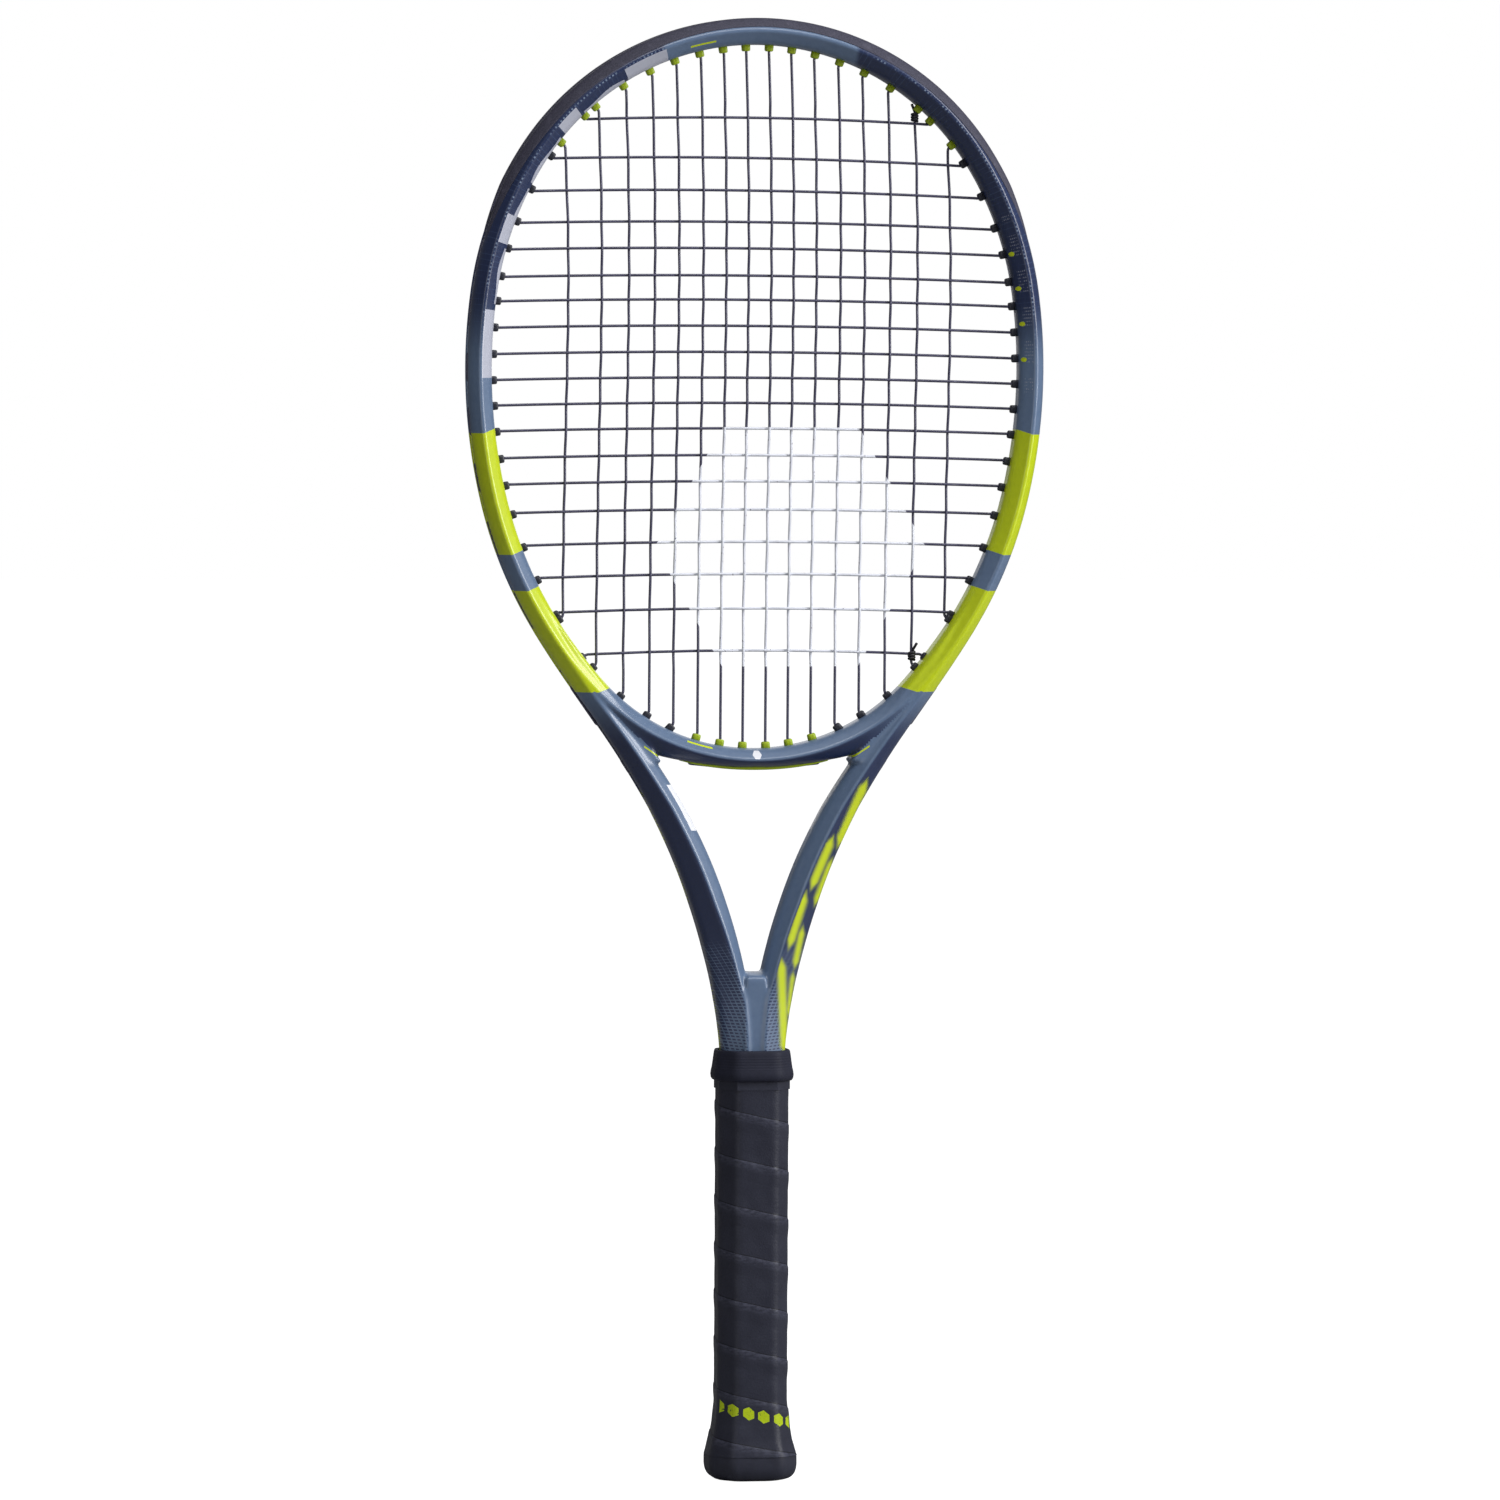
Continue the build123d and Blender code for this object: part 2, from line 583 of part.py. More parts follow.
# ---------------------------------------------------------------- handle
def octagon(width, inset=0.0):
    """Eight-sided grip outline for a width over the wrap, moved in by inset."""
    full_width, full_depth, front, side = GRIP_OCTAGON
    grown = width - full_width
    x, y = width / 2, (full_depth + grown) / 2
    front_x, side_y = (front + 0.6 * grown) / 2, (side + 0.6 * grown) / 2
    corners = [(x, -side_y), (x, side_y), (front_x, y), (-front_x, y)]
    corners += [(-x, side_y), (-x, -side_y), (-front_x, -y), (front_x, -y)]
    with BuildSketch(mode=Mode.PRIVATE) as outline:
        Polygon(*corners, align=None)
        if inset:
            offset(amount=-inset, kind=Kind.INTERSECTION)
    return outline.sketch


def prism(low_z, top_z, inset):
    """Straight eight-sided bar between two heights, inset below the wrap's surface."""
    with BuildPart() as bar:
        with BuildSketch(Plane.XY.offset(low_z)):
            add(octagon(GRIP_OCTAGON[0], inset))
        extrude(amount=top_z - low_z)
    return bar.part


def flared(stations, inset):
    """Eight-sided body through (height, width) stations."""
    with BuildPart() as body:
        for z, width in stations:
            with BuildSketch(Plane.XY.offset(z)):
                add(octagon(width, inset))
        loft(ruled=True)
    return body.part


def door_hole(radius, low_z, top_z):
    with BuildPart() as hole:
        with BuildSketch(Plane.XY.offset(low_z)):
            Circle(radius)
        extrude(amount=top_z - low_z)
    return hole.part


STAPLE_Z = 30.0
STAPLE_Y = 13.3
STAPLE_HALF = 4.5
WIRE = (1.2, 0.5)
LEG = 3.4
LEG_WIDTH = 0.6
LEG_X = STAPLE_HALF - LEG_WIDTH / 2
WRAP_STAPLE_Y = 17.3
WRAP_STAPLE_Z = 17.5

with BuildPart() as butt_staples:
    with BuildSketch(Plane.XZ.offset(STAPLE_Y - WIRE[1])):
        with Locations((0, STAPLE_Z)):
            Rectangle(2 * STAPLE_HALF, WIRE[0])
    extrude(amount=WIRE[1])
    with BuildSketch(Plane.XZ.offset(STAPLE_Y - WIRE[1] - LEG)):
        with Locations((-LEG_X, STAPLE_Z), (LEG_X, STAPLE_Z)):
            Rectangle(LEG_WIDTH, WIRE[0])
    extrude(amount=LEG)
    mirror(about=Plane.XZ)
butt_staples.part.label = "butt_staples"
export_step(butt_staples.part, "parts/butt_staples.step")

with BuildPart() as handle_pallets:
    add(prism(SKIRT_TOP_Z, TAIL_TOP_Z, WRAP))
    add(prism(CAP_FLOOR, SKIRT_TOP_Z, WRAP + SKIRT))
    add(frame_outside.part, mode=Mode.SUBTRACT)
    with BuildSketch(Plane.XY.offset(TAIL_END_Z)):
        Rectangle(TAIL_HALF, 2 * TUBE_FLAT)
    extrude(amount=TAIL_TOP_Z - TAIL_END_Z, mode=Mode.SUBTRACT)
    add(door_hole(DOOR_PLUG_R + DOOR_GAP, CAP_FLOOR, TAIL_END_Z), mode=Mode.SUBTRACT)
    add(butt_staples.part, mode=Mode.SUBTRACT)

with BuildPart() as pallet_front:
    add(handle_pallets.part)
    split(bisect_by=Plane.XZ, keep=Keep.TOP)
pallet_front.part.label = "pallet_front"
export_step(pallet_front.part, "parts/pallet_front.step")

with BuildPart() as pallet_back:
    add(handle_pallets.part)
    split(bisect_by=Plane.XZ, keep=Keep.BOTTOM)
pallet_back.part.label = "pallet_back"
export_step(pallet_back.part, "parts/pallet_back.step")

with BuildPart() as wrap_staple:
    with BuildSketch(Plane.XZ.offset(-WRAP_STAPLE_Y)):
        with Locations((0, WRAP_STAPLE_Z)):
            Rectangle(2 * STAPLE_HALF, WIRE[0])
    extrude(amount=WIRE[1])
    with BuildSketch(Plane.XZ.offset(-WRAP_STAPLE_Y)):
        with Locations((-LEG_X, WRAP_STAPLE_Z), (LEG_X, WRAP_STAPLE_Z)):
            Rectangle(LEG_WIDTH, WIRE[0])
    extrude(amount=LEG)
wrap_staple.part.label = "wrap_staple"
export_step(wrap_staple.part, "parts/wrap_staple.step")

with BuildPart() as butt_cap:
    add(flared(CAP_END, 0))
    add(flared(FLARE, WRAP))
    add(prism(CAP_FLOOR, SKIRT_TOP_Z, WRAP + SKIRT), mode=Mode.SUBTRACT)
    add(door_hole(DOOR_R + DOOR_GAP, 0, DOOR_RECESS + DOOR_FLANGE), mode=Mode.SUBTRACT)
    add(door_hole(DOOR_PLUG_R + DOOR_GAP, 0, CAP_FLOOR), mode=Mode.SUBTRACT)
    add(butt_staples.part, mode=Mode.SUBTRACT)
    add(wrap_staple.part, mode=Mode.SUBTRACT)
butt_cap.part.label = "butt_cap"
export_step(butt_cap.part, "parts/butt_cap.step")

with BuildPart() as trap_door:
    with BuildSketch(Plane.XY.offset(DOOR_RECESS)):
        Circle(DOOR_R)
    extrude(amount=DOOR_FLANGE - 0.1)
    with BuildSketch(Plane.XY.offset(DOOR_RECESS)):
        Circle(DOOR_PLUG_R)
    extrude(amount=CAP_FLOOR + 1.0)
trap_door.part.label = "trap_door"
export_step(trap_door.part, "parts/trap_door.step")

with BuildPart() as grip_wrap:
    add(flared(FLARE, 0))
    add(prism(SKIRT_TOP_Z, WRAP_TOP_Z, 0))
    add(flared(FLARE, WRAP), mode=Mode.SUBTRACT)
    add(prism(SKIRT_TOP_Z, WRAP_TOP_Z, WRAP), mode=Mode.SUBTRACT)
    add(wrap_staple.part, mode=Mode.SUBTRACT)
grip_wrap.part.label = "grip_wrap"
export_step(grip_wrap.part, "parts/grip_wrap.step")

with BuildPart() as finishing_tape:
    add(prism(FINISH_LOW_Z, WRAP_TOP_Z, -FINISH_THICK))
    add(prism(FINISH_LOW_Z, WRAP_TOP_Z, 0), mode=Mode.SUBTRACT)
finishing_tape.part.label = "finishing_tape"
export_step(finishing_tape.part, "parts/finishing_tape.step")

with BuildPart() as rubber_collar:
    add(prism(COLLAR_LOW_Z, COLLAR_TOP_Z, -COLLAR_GAP - COLLAR_WALL))
    rims = rubber_collar.faces().filter_by(Axis.Z).edges()
    chamfer(rims, COLLAR_WALL * 0.6)
    add(prism(COLLAR_LOW_Z, COLLAR_TOP_Z, -COLLAR_GAP), mode=Mode.SUBTRACT)
rubber_collar.part.label = "rubber_collar"
export_step(rubber_collar.part, "parts/rubber_collar.step")
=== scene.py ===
"""The looks of a tennis racket, built around its CAD frame. Lengths are written in millimetres."""

from math import cos, hypot, pi, radians, sin, sqrt, tau

import bpy
import numpy as np
from mathutils import Matrix, Vector


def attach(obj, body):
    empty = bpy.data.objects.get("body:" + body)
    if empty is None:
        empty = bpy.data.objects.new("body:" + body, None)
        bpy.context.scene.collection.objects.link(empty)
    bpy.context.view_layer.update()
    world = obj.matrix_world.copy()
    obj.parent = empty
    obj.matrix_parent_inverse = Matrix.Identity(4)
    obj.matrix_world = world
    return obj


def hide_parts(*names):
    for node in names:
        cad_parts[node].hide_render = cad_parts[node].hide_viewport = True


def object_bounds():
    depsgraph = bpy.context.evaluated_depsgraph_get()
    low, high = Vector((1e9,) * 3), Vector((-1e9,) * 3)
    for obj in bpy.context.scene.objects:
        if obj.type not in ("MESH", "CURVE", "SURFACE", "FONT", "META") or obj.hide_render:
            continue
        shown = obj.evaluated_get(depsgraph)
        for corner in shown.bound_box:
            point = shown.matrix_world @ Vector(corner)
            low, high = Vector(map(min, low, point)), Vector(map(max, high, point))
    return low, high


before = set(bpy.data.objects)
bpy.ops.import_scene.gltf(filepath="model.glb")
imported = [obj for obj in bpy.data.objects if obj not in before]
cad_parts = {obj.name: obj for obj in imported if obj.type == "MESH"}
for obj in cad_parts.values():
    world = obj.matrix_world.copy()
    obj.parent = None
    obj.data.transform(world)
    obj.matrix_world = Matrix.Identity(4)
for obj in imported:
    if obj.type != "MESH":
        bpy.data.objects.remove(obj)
cad_low, cad_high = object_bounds()

MM = 0.001
BODY = "racket"


# ---------- camera, lights and floor
VIEW_AZIMUTH = -10.5
VIEW_ELEVATION = 2.5
VIEW_ROLL = 0.29
VIEW_DISTANCE = 5.0
VIEW_WIDTH = 0.7027
VIEW_AIM = (-0.0017, 0, 0.3428)
SENSOR = 36.0
SKY_SHOWN = 1.0
SKY_LIGHT = 0.13
FLOOR_GLOW = 1.0
FLOOR_TONE = 0.3
FLOOR_SIZE = 30
WHITE = (1, 1, 1, 1)
LIGHT_AIM = Vector((0, 0, 0.4))
LIGHTS = {
    "key": ((2.0, -1.1, 1.2), (0.6, 1.9), 56),
    "top": ((0.1, -0.9, 2.3), (1.4, 0.8), 22),
    "fill": ((-1.2, -2.2, 0.4), (0.8, 1.6), 9),
    "back": ((0.4, 1.8, 1.2), (1.6, 1.6), 8),
}


def linked(name, data):
    """A new object in the scene that holds the data."""
    holder = bpy.data.objects.new(name, data)
    bpy.context.collection.objects.link(holder)
    return holder


def make_camera():
    camera = bpy.data.cameras.new("camera")
    camera.sensor_width = SENSOR
    camera.lens = SENSOR * VIEW_DISTANCE / VIEW_WIDTH
    camera.clip_end = 50
    holder = linked("camera", camera)
    azimuth, elevation = radians(VIEW_AZIMUTH), radians(VIEW_ELEVATION)
    away = Vector((sin(azimuth) * cos(elevation), -cos(azimuth) * cos(elevation), sin(elevation)))
    aim = Vector(VIEW_AIM)
    look = (-away).to_track_quat("-Z", "Y").to_matrix().to_4x4()
    turned = look @ Matrix.Rotation(radians(VIEW_ROLL), 4, "Z")
    holder.matrix_world = Matrix.Translation(aim + VIEW_DISTANCE * away) @ turned
    bpy.context.scene.camera = holder


def area_light(name, place, size, power):
    light = bpy.data.lights.new(name, "AREA")
    light.shape = "RECTANGLE"
    light.size, light.size_y = size
    light.energy = power
    holder = linked(name, light)
    holder.location = place
    holder.rotation_euler = (LIGHT_AIM - Vector(place)).to_track_quat("-Z", "Y").to_euler()
    holder.visible_camera = False


def by_camera_ray(tree, seen, otherwise):
    """One value for rays from the camera and another for the rays that light the object."""
    ray = tree.nodes.new("ShaderNodeLightPath").outputs["Is Camera Ray"]
    pick = tree.nodes.new("ShaderNodeMapRange")
    pick.inputs["To Min"].default_value = otherwise
    pick.inputs["To Max"].default_value = seen
    tree.links.new(ray, pick.inputs["Value"])
    return pick.outputs["Result"]


def make_sky():
    world = bpy.data.worlds.new("studio")
    bpy.context.scene.world = world
    world.use_nodes = True
    tree = world.node_tree
    background = tree.nodes["Background"]
    background.inputs["Color"].default_value = WHITE
    tree.links.new(by_camera_ray(tree, SKY_SHOWN, SKY_LIGHT), background.inputs["Strength"])


def make_floor():
    bpy.ops.mesh.primitive_plane_add(size=FLOOR_SIZE, location=(0, 0, cad_low.z))
    floor = bpy.context.object
    floor.name = "floor"
    paper = bpy.data.materials.new("paper")
    paper.use_nodes = True
    tree = paper.node_tree
    surface = tree.nodes["Principled BSDF"]
    surface.inputs["Base Color"].default_value = (FLOOR_TONE, FLOOR_TONE, FLOOR_TONE, 1)
    surface.inputs["Roughness"].default_value = 1.0
    surface.inputs["Emission Color"].default_value = WHITE
    tree.links.new(by_camera_ray(tree, FLOOR_GLOW, 0.0), surface.inputs["Emission Strength"])
    floor.data.materials.append(paper)


make_camera()
make_sky()
for light_name, (place, size, power) in LIGHTS.items():
    area_light(light_name, place, size, power)
make_floor()
bpy.context.scene.view_settings.view_transform = "Standard"


# ---------- shader values
class Term:
    """A shader value that adds, scales and compares like a number."""

    def __init__(self, tree, socket):
        self.tree, self.socket = tree, socket

    def do(self, operation, *others):
        node = self.tree.nodes.new("ShaderNodeMath")
        node.operation = operation
        for socket, value in zip(node.inputs, (self, *others)):
            feed(self.tree, value, socket)
        return Term(self.tree, node.outputs[0])

    def __rsub__(self, other):
        return (self * -1) + other

    def __abs__(self):
        return self.do("ABSOLUTE")

    def wave(self, pitch):
        """Cosine of the value, one turn per pitch."""
        return (self * (tau / pitch)).do("COSINE")

    def cell(self, pitch):
        """Offset from the middle of its cell of that pitch."""
        return self.do("FLOORED_MODULO", pitch) - pitch / 2

    def between(self, low, high):
        return (self > low) * (self < high)

    def ramp(self, low, high):
        """Smooth rise from 0 at low to 1 at high."""
        node = self.tree.nodes.new("ShaderNodeMapRange")
        node.interpolation_type = "SMOOTHSTEP"
        feed(self.tree, self, node.inputs["Value"])
        turned = low > high
        span = (high, low, 1, 0) if turned else (low, high, 0, 1)
        for socket, value in zip(("From Min", "From Max", "To Min", "To Max"), span):
            node.inputs[socket].default_value = value
        return Term(self.tree, node.outputs["Result"])


def two_sided(operation):
    return lambda self, other: self.do(operation, other)


OPERATIONS = {
    "__add__": "ADD", "__radd__": "ADD", "__sub__": "SUBTRACT", "__truediv__": "DIVIDE",
    "__mul__": "MULTIPLY", "__rmul__": "MULTIPLY", "__gt__": "GREATER_THAN", "__lt__": "LESS_THAN",
    "least": "MINIMUM", "most": "MAXIMUM",
}
for method, operation in OPERATIONS.items():
    setattr(Term, method, two_sided(operation))


def feed(tree, value, socket):
    if isinstance(value, Term):
        tree.links.new(value.socket, socket)
    elif isinstance(value, bpy.types.NodeSocket):
        tree.links.new(value, socket)
    else:
        socket.default_value = value


def linear(hexcode):
    """A web colour as linear RGBA."""
    parts = [int(hexcode[i:i + 2], 16) / 255 for i in (0, 2, 4)]
    return tuple(p / 12.92 if p <= 0.04045 else ((p + 0.055) / 1.055) ** 2.4 for p in parts) + (1,)


class Paint:
    """A procedural material in the object's own coordinates, in millimetres."""

    def __init__(self, name):
        self.material = bpy.data.materials.new(name)
        self.material.use_nodes = True
        self.tree = self.material.node_tree
        self.surface = self.tree.nodes["Principled BSDF"]
        self.place = self.tree.nodes.new("ShaderNodeTexCoord").outputs["Object"]
        split = self.tree.nodes.new("ShaderNodeSeparateXYZ")
        self.tree.links.new(self.place, split.inputs[0])
        self.x, self.y, self.z = [Term(self.tree, socket) / MM for socket in split.outputs]

    def attribute(self, name):
        node = self.tree.nodes.new("ShaderNodeAttribute")
        node.attribute_name = name
        return Term(self.tree, node.outputs["Fac"])

    def noise(self, size, detail=2.0, stretch=(1, 1, 1)):
        """Cloudy value about 0.5 with grains of that size in millimetres."""
        mapping = self.tree.nodes.new("ShaderNodeMapping")
        mapping.inputs["Scale"].default_value = stretch
        self.tree.links.new(self.place, mapping.inputs["Vector"])
        node = self.tree.nodes.new("ShaderNodeTexNoise")
        node.inputs["Scale"].default_value = 1 / (size * MM)
        node.inputs["Detail"].default_value = detail
        self.tree.links.new(mapping.outputs[0], node.inputs["Vector"])
        return Term(self.tree, node.outputs["Fac"])

    def grain(self, size):
        """Distance from the middle of leathery cells of that size."""
        node = self.tree.nodes.new("ShaderNodeTexVoronoi")
        node.inputs["Scale"].default_value = 1 / (size * MM)
        self.tree.links.new(self.place, node.inputs["Vector"])
        return Term(self.tree, node.outputs["Distance"])

    def mix(self, share, first, second):
        node = self.tree.nodes.new("ShaderNodeMix")
        node.data_type = "RGBA"
        colours = [socket for socket in node.inputs if socket.type == "RGBA"]
        feed(self.tree, share, node.inputs["Factor"])
        feed(self.tree, first, colours[0])
        feed(self.tree, second, colours[1])
        return next(socket for socket in node.outputs if socket.type == "RGBA")

    def bump(self, height, depth):
        """Relief of that depth in millimetres for a height of one."""
        node = self.tree.nodes.new("ShaderNodeBump")
        node.inputs["Distance"].default_value = depth * MM
        feed(self.tree, height, node.inputs["Height"])
        self.tree.links.new(node.outputs["Normal"], self.surface.inputs["Normal"])

    def finish(self, colour, roughness, coat=0.0, coat_roughness=0.2, metallic=0.0, specular=0.5):
        feed(self.tree, colour, self.surface.inputs["Base Color"])
        feed(self.tree, roughness, self.surface.inputs["Roughness"])
        self.surface.inputs["Coat Weight"].default_value = coat
        self.surface.inputs["Coat Roughness"].default_value = coat_roughness
        self.surface.inputs["Metallic"].default_value = metallic
        self.surface.inputs["Specular IOR Level"].default_value = specular
        return self.material


def dress(piece, material):
    piece.data.materials.clear()
    piece.data.materials.append(material)


# ---------- the frame's centrelines
# Arcs as (radius, normal angle at the lower end). The ring is the hoop closed by the bridge. The rim is
# the hoop that runs on into the shafts, which bend the other way, down to the handle.
TIP_Z = 678.25
RING_ARCS = [(125, 33), (157.2, 8), (260, -14), (193.85, -43.68), (104.5, -90)]
RIM_ARCS = [(125, 33), (157.2, 8), (260, -14), (200, -30), (510, -36.5)]
RIM_ARCS += [(-410, -27), (-280, -17), (-195, 0)]
HOOP_ARC_COUNT = 5
SHAFT_FIRST = 3
TUBE_HALF = 5.75
GROOVE_FLOOR = 3.25
GROOVE_HALF = 2.9
GROOVE_LOW_Z = 322.0
STRIP_THICK = 0.8
STRIP_LIP = 0.5
STRIP_HALF = 2.8
BED_RADIUS = 100.0
BED_CENTRE_Z = 443.7
BRIDGE_LOW_Z = 334.8
BRIDGE_RADIUS = 195.0


def arc_chain(arcs):
    """Arcs as (centre x, centre z, signed radius, first angle, last angle, length before), and the end."""
    chain, x, z, angle, run = [], 0.0, TIP_Z, 90.0, 0.0
    for radius, end in arcs:
        cx, cz = x - radius * cos(radians(angle)), z - radius * sin(radians(angle))
        chain.append((cx, cz, radius, angle, end, run))
        run += abs(radius * radians(end - angle))
        x, z = cx + radius * cos(radians(end)), cz + radius * sin(radians(end))
        angle = end
    return chain, (x, z, run)


RING, _ = arc_chain(RING_ARCS)
RIM, NECK = arc_chain(RIM_ARCS)
HOOP, SHAFT = RIM[:HOOP_ARC_COUNT], RIM[SHAFT_FIRST:]
FAR = 1e3


def on_arc(arc, angle, u=0.0):
    cx, cz, radius = arc[:3]
    return cx + (radius + u) * cos(radians(angle)), cz + (radius + u) * sin(radians(angle))


def on_hoop(angle, u=0.0):
    arc = next(a for a in HOOP if angle >= a[4] - 1e-6)
    return on_arc(arc, angle, u)


def along_chain(chain, x, z, tail=None):
    """(offset outside the line, length along it from the tip) of points on the right half."""
    best = np.full(x.shape, FAR)
    run = np.zeros(x.shape)
    for cx, cz, radius, first, last, before in chain:
        side = 1 if radius > 0 else -1
        qx, qz = (x - cx) * side, (z - cz) * side
        angle = np.degrees(np.arctan2(qz, qx))
        low, high = min(first, last) - 0.3, max(first, last) + 0.3
        if last <= -89:
            angle = np.where(angle > 100, angle - 360, angle)
            low = -100
        offset = side * np.hypot(qx, qz) - radius
        better = (angle >= low) & (angle <= high) & (np.abs(offset) < np.abs(best))
        best = np.where(better, offset, best)
        run = np.where(better, before + np.abs(radius) * np.radians(np.abs(first - angle)), run)
    if tail is not None:
        tail_x, tail_z, before = tail
        offset = x - tail_x
        better = (z <= tail_z) & (np.abs(offset) < np.abs(best))
        best = np.where(better, offset, best)
        run = np.where(better, before + tail_z - z, run)
    return best, run


# ---------- mesh tools
def mesh_object(name, vertices, faces):
    """A smooth mesh object from points in millimetres."""
    mesh = bpy.data.meshes.new(name)
    mesh.from_pydata([tuple(p) for p in np.asarray(vertices) * MM], [], [tuple(f) for f in faces])
    mesh.validate()
    mesh.update()
    mesh.shade_smooth()
    return linked(name, mesh)


def skin(rings, closed=False):
    """(points, faces) over equal rings of points, capped unless the rings close on themselves."""
    count, size = len(rings), len(rings[0])
    faces = []
    for i in range(count if closed else count - 1):
        a, b = i * size, ((i + 1) % count) * size
        faces += [(a + k, a + (k + 1) % size, b + (k + 1) % size, b + k) for k in range(size)]
    if not closed:
        faces += [tuple(range(size))[::-1], tuple((count - 1) * size + k for k in range(size))]
    return np.concatenate([np.asarray(r, float) for r in rings]), faces


def joined(parts):
    """Several (points, faces) as one."""
    points, faces, base = [], [], 0
    for part_points, part_faces in parts:
        points.append(part_points)
        faces += [tuple(base + k for k in face) for face in part_faces]
        base += len(part_points)
    return np.concatenate(points), faces


def mirrored(part):
    points, faces = part
    return points * (-1, 1, 1), [face[::-1] for face in faces]


def softened(corners, share=0.22):
    """A closed outline with each corner cut in two."""
    cut = []
    for here, after in zip(corners, corners[1:] + corners[:1]):
        a, b = np.array(here, float), np.array(after, float)
        cut += [a + (b - a) * share, b - (b - a) * share]
    return cut


def both_ways(half):
    """An outline of (u, v) closed by its own mirror image in v."""
    return half + [(u, -v) for u, v in reversed(half)]


def add_attribute(piece, name, values):
    layer = piece.data.attributes.new(name, "FLOAT", "POINT")
    layer.data.foreach_set("value", np.asarray(values, np.float32))


def install(piece, material, slot, *nodes):
    dress(piece, material)
    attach(piece, BODY)
    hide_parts(*nodes)
    return piece


# ---------- the painted frame
RIDGE_Z = [205, 226, 240, 272, 345, 400, 430]
RIDGE_U = [-4.7, -4.7, -3.4, -1.6, 0.0, 0.7, 0.9]
HOOP_RIDGE_U = 0.9
RIDGE_DEPTH = 11.9
RIDGE_ROUNDING = 1.4
EDGE_ROUNDING = 2.6
OUTER_FLAT = 6.4
NECK_HALF = 8.2
YOKE_CORNERS = [(91.0, 397.0), (58.0, 338.0), (45.0, 337.6)]
YOKE_HALF_DEPTH = 8.8
SHAFT_SHIFT_Z = [250, 270, 293, 316, 343, 371, 398]
SHAFT_SHIFT = [0.0, 0.4, 1.2, 1.8, 1.3, 0.7, 0.0]
WEB_HALF = 4.9
WEB_TOP_Z = 239.0
WEB_HALF_DEPTH = 10.8
SHELL_LOW_Z = 183.0
GRID, QUICK_GRID = 1.0, 1.8
GRID_LOW, GRID_HIGH = (-140.0, -13.5, SHELL_LOW_Z), (140.0, 13.5, 688.0)


def smooth_max(a, b, k):
    h = np.maximum(k - np.abs(a - b), 0) / np.maximum(k, 1e-6)
    return np.maximum(a, b) + h * h * k / 4


def smooth_min(a, b, k):
    return -smooth_max(-a, -b, k)


def tube_section(u, v, half, outer_half, depth, ridge, flat):
    """Signed distance to a six-sided tube section with a rounded ridge front and back."""
    outer_run, inner_run, rise = outer_half - ridge, half + ridge, depth - flat
    outer = ((u - ridge) * rise + (v - depth) * outer_run) / np.hypot(rise, outer_run)
    inner = (-(u - ridge) * rise + (v - depth) * inner_run) / np.hypot(rise, inner_run)
    slopes = smooth_max(outer, inner, RIDGE_ROUNDING)
    return smooth_max(slopes, np.maximum(u - outer_half, -half - u), EDGE_ROUNDING)


def ring_half(z):
    return np.interp(z, [339, 352, 376, 402], [4.45, 4.6, 5.3, TUBE_HALF])


def bridge_drop(x, z):
    """How far the bridge reaches below the ring's own half thickness, towards the throat's corners."""
    return np.interp(x, [0, 20, 34.7, 44, 52, 66], [0, 0.75, 2.2, 3.7, 3.7, 0]) * (z < 380)


def shaft_half(z):
    share = np.clip((360 - z) / (360 - 235), 0, 1)
    return TUBE_HALF + (NECK_HALF - TUBE_HALF) * share * (2 - share)


def shaft_outer_half(z):
    """The neck draws in towards the collar."""
    return shaft_half(z) - np.interp(z, [203, 212, 226, 245], [1.6, 1.1, 0.4, 0])


def along_shaft(x, z):
    """Offset and run along the shaft, whose body lies a little inside the strings' rim line."""
    offset, run = along_chain(SHAFT, x, z, NECK)
    return offset + np.interp(z, SHAFT_SHIFT_Z, SHAFT_SHIFT), run


def right_of(x, z, first, second):
    """Distance to the right of the line from first to second."""
    dx, dz = second[0] - first[0], second[1] - first[1]
    return ((x - first[0]) * dz - (z - first[1]) * dx) / hypot(dx, dz)


def frame_distance(x, y, z):
    """Signed distance to the painted frame: ring, shafts, yoke facets and the web in the V."""
    x, v = np.abs(x), np.abs(y)
    ring_u, _ = along_chain(RING, x, z)
    shaft_u, _ = along_shaft(x, z)
    half = ring_half(z)
    ring = tube_section(ring_u, v, half, half + bridge_drop(x, z), RIDGE_DEPTH, HOOP_RIDGE_U, OUTER_FLAT)
    shaft_ridge = np.interp(z, RIDGE_Z, RIDGE_U)
    outer_half = shaft_outer_half(z)
    shaft = tube_section(shaft_u, v, shaft_half(z), outer_half, RIDGE_DEPTH, shaft_ridge, OUTER_FLAT)
    body = smooth_min(ring, shaft, np.clip(np.abs(ring_u - shaft_u) * 0.5, 0, 2.4))
    yoke = -FAR
    for first, second in zip(YOKE_CORNERS, YOKE_CORNERS[1:] + YOKE_CORNERS[:1]):
        yoke = np.maximum(yoke, -right_of(x, z, first, second))
    facet = smooth_max(yoke, v - YOKE_HALF_DEPTH, 1.5)
    body = smooth_min(body, facet, 2.4)
    scoop = WEB_TOP_Z - 0.02 * v * v
    web = smooth_max(smooth_max(x - WEB_HALF, v - WEB_HALF_DEPTH, 0.8), z - scoop, 2.0)
    body = smooth_min(body, web, 1.6)
    outer_u = np.where(z > 400, ring_u, shaft_u)
    groove = np.maximum(np.maximum(v - GROOVE_HALF, GROOVE_FLOOR - outer_u), GROOVE_LOW_Z - z)
    return np.maximum(body, -groove)


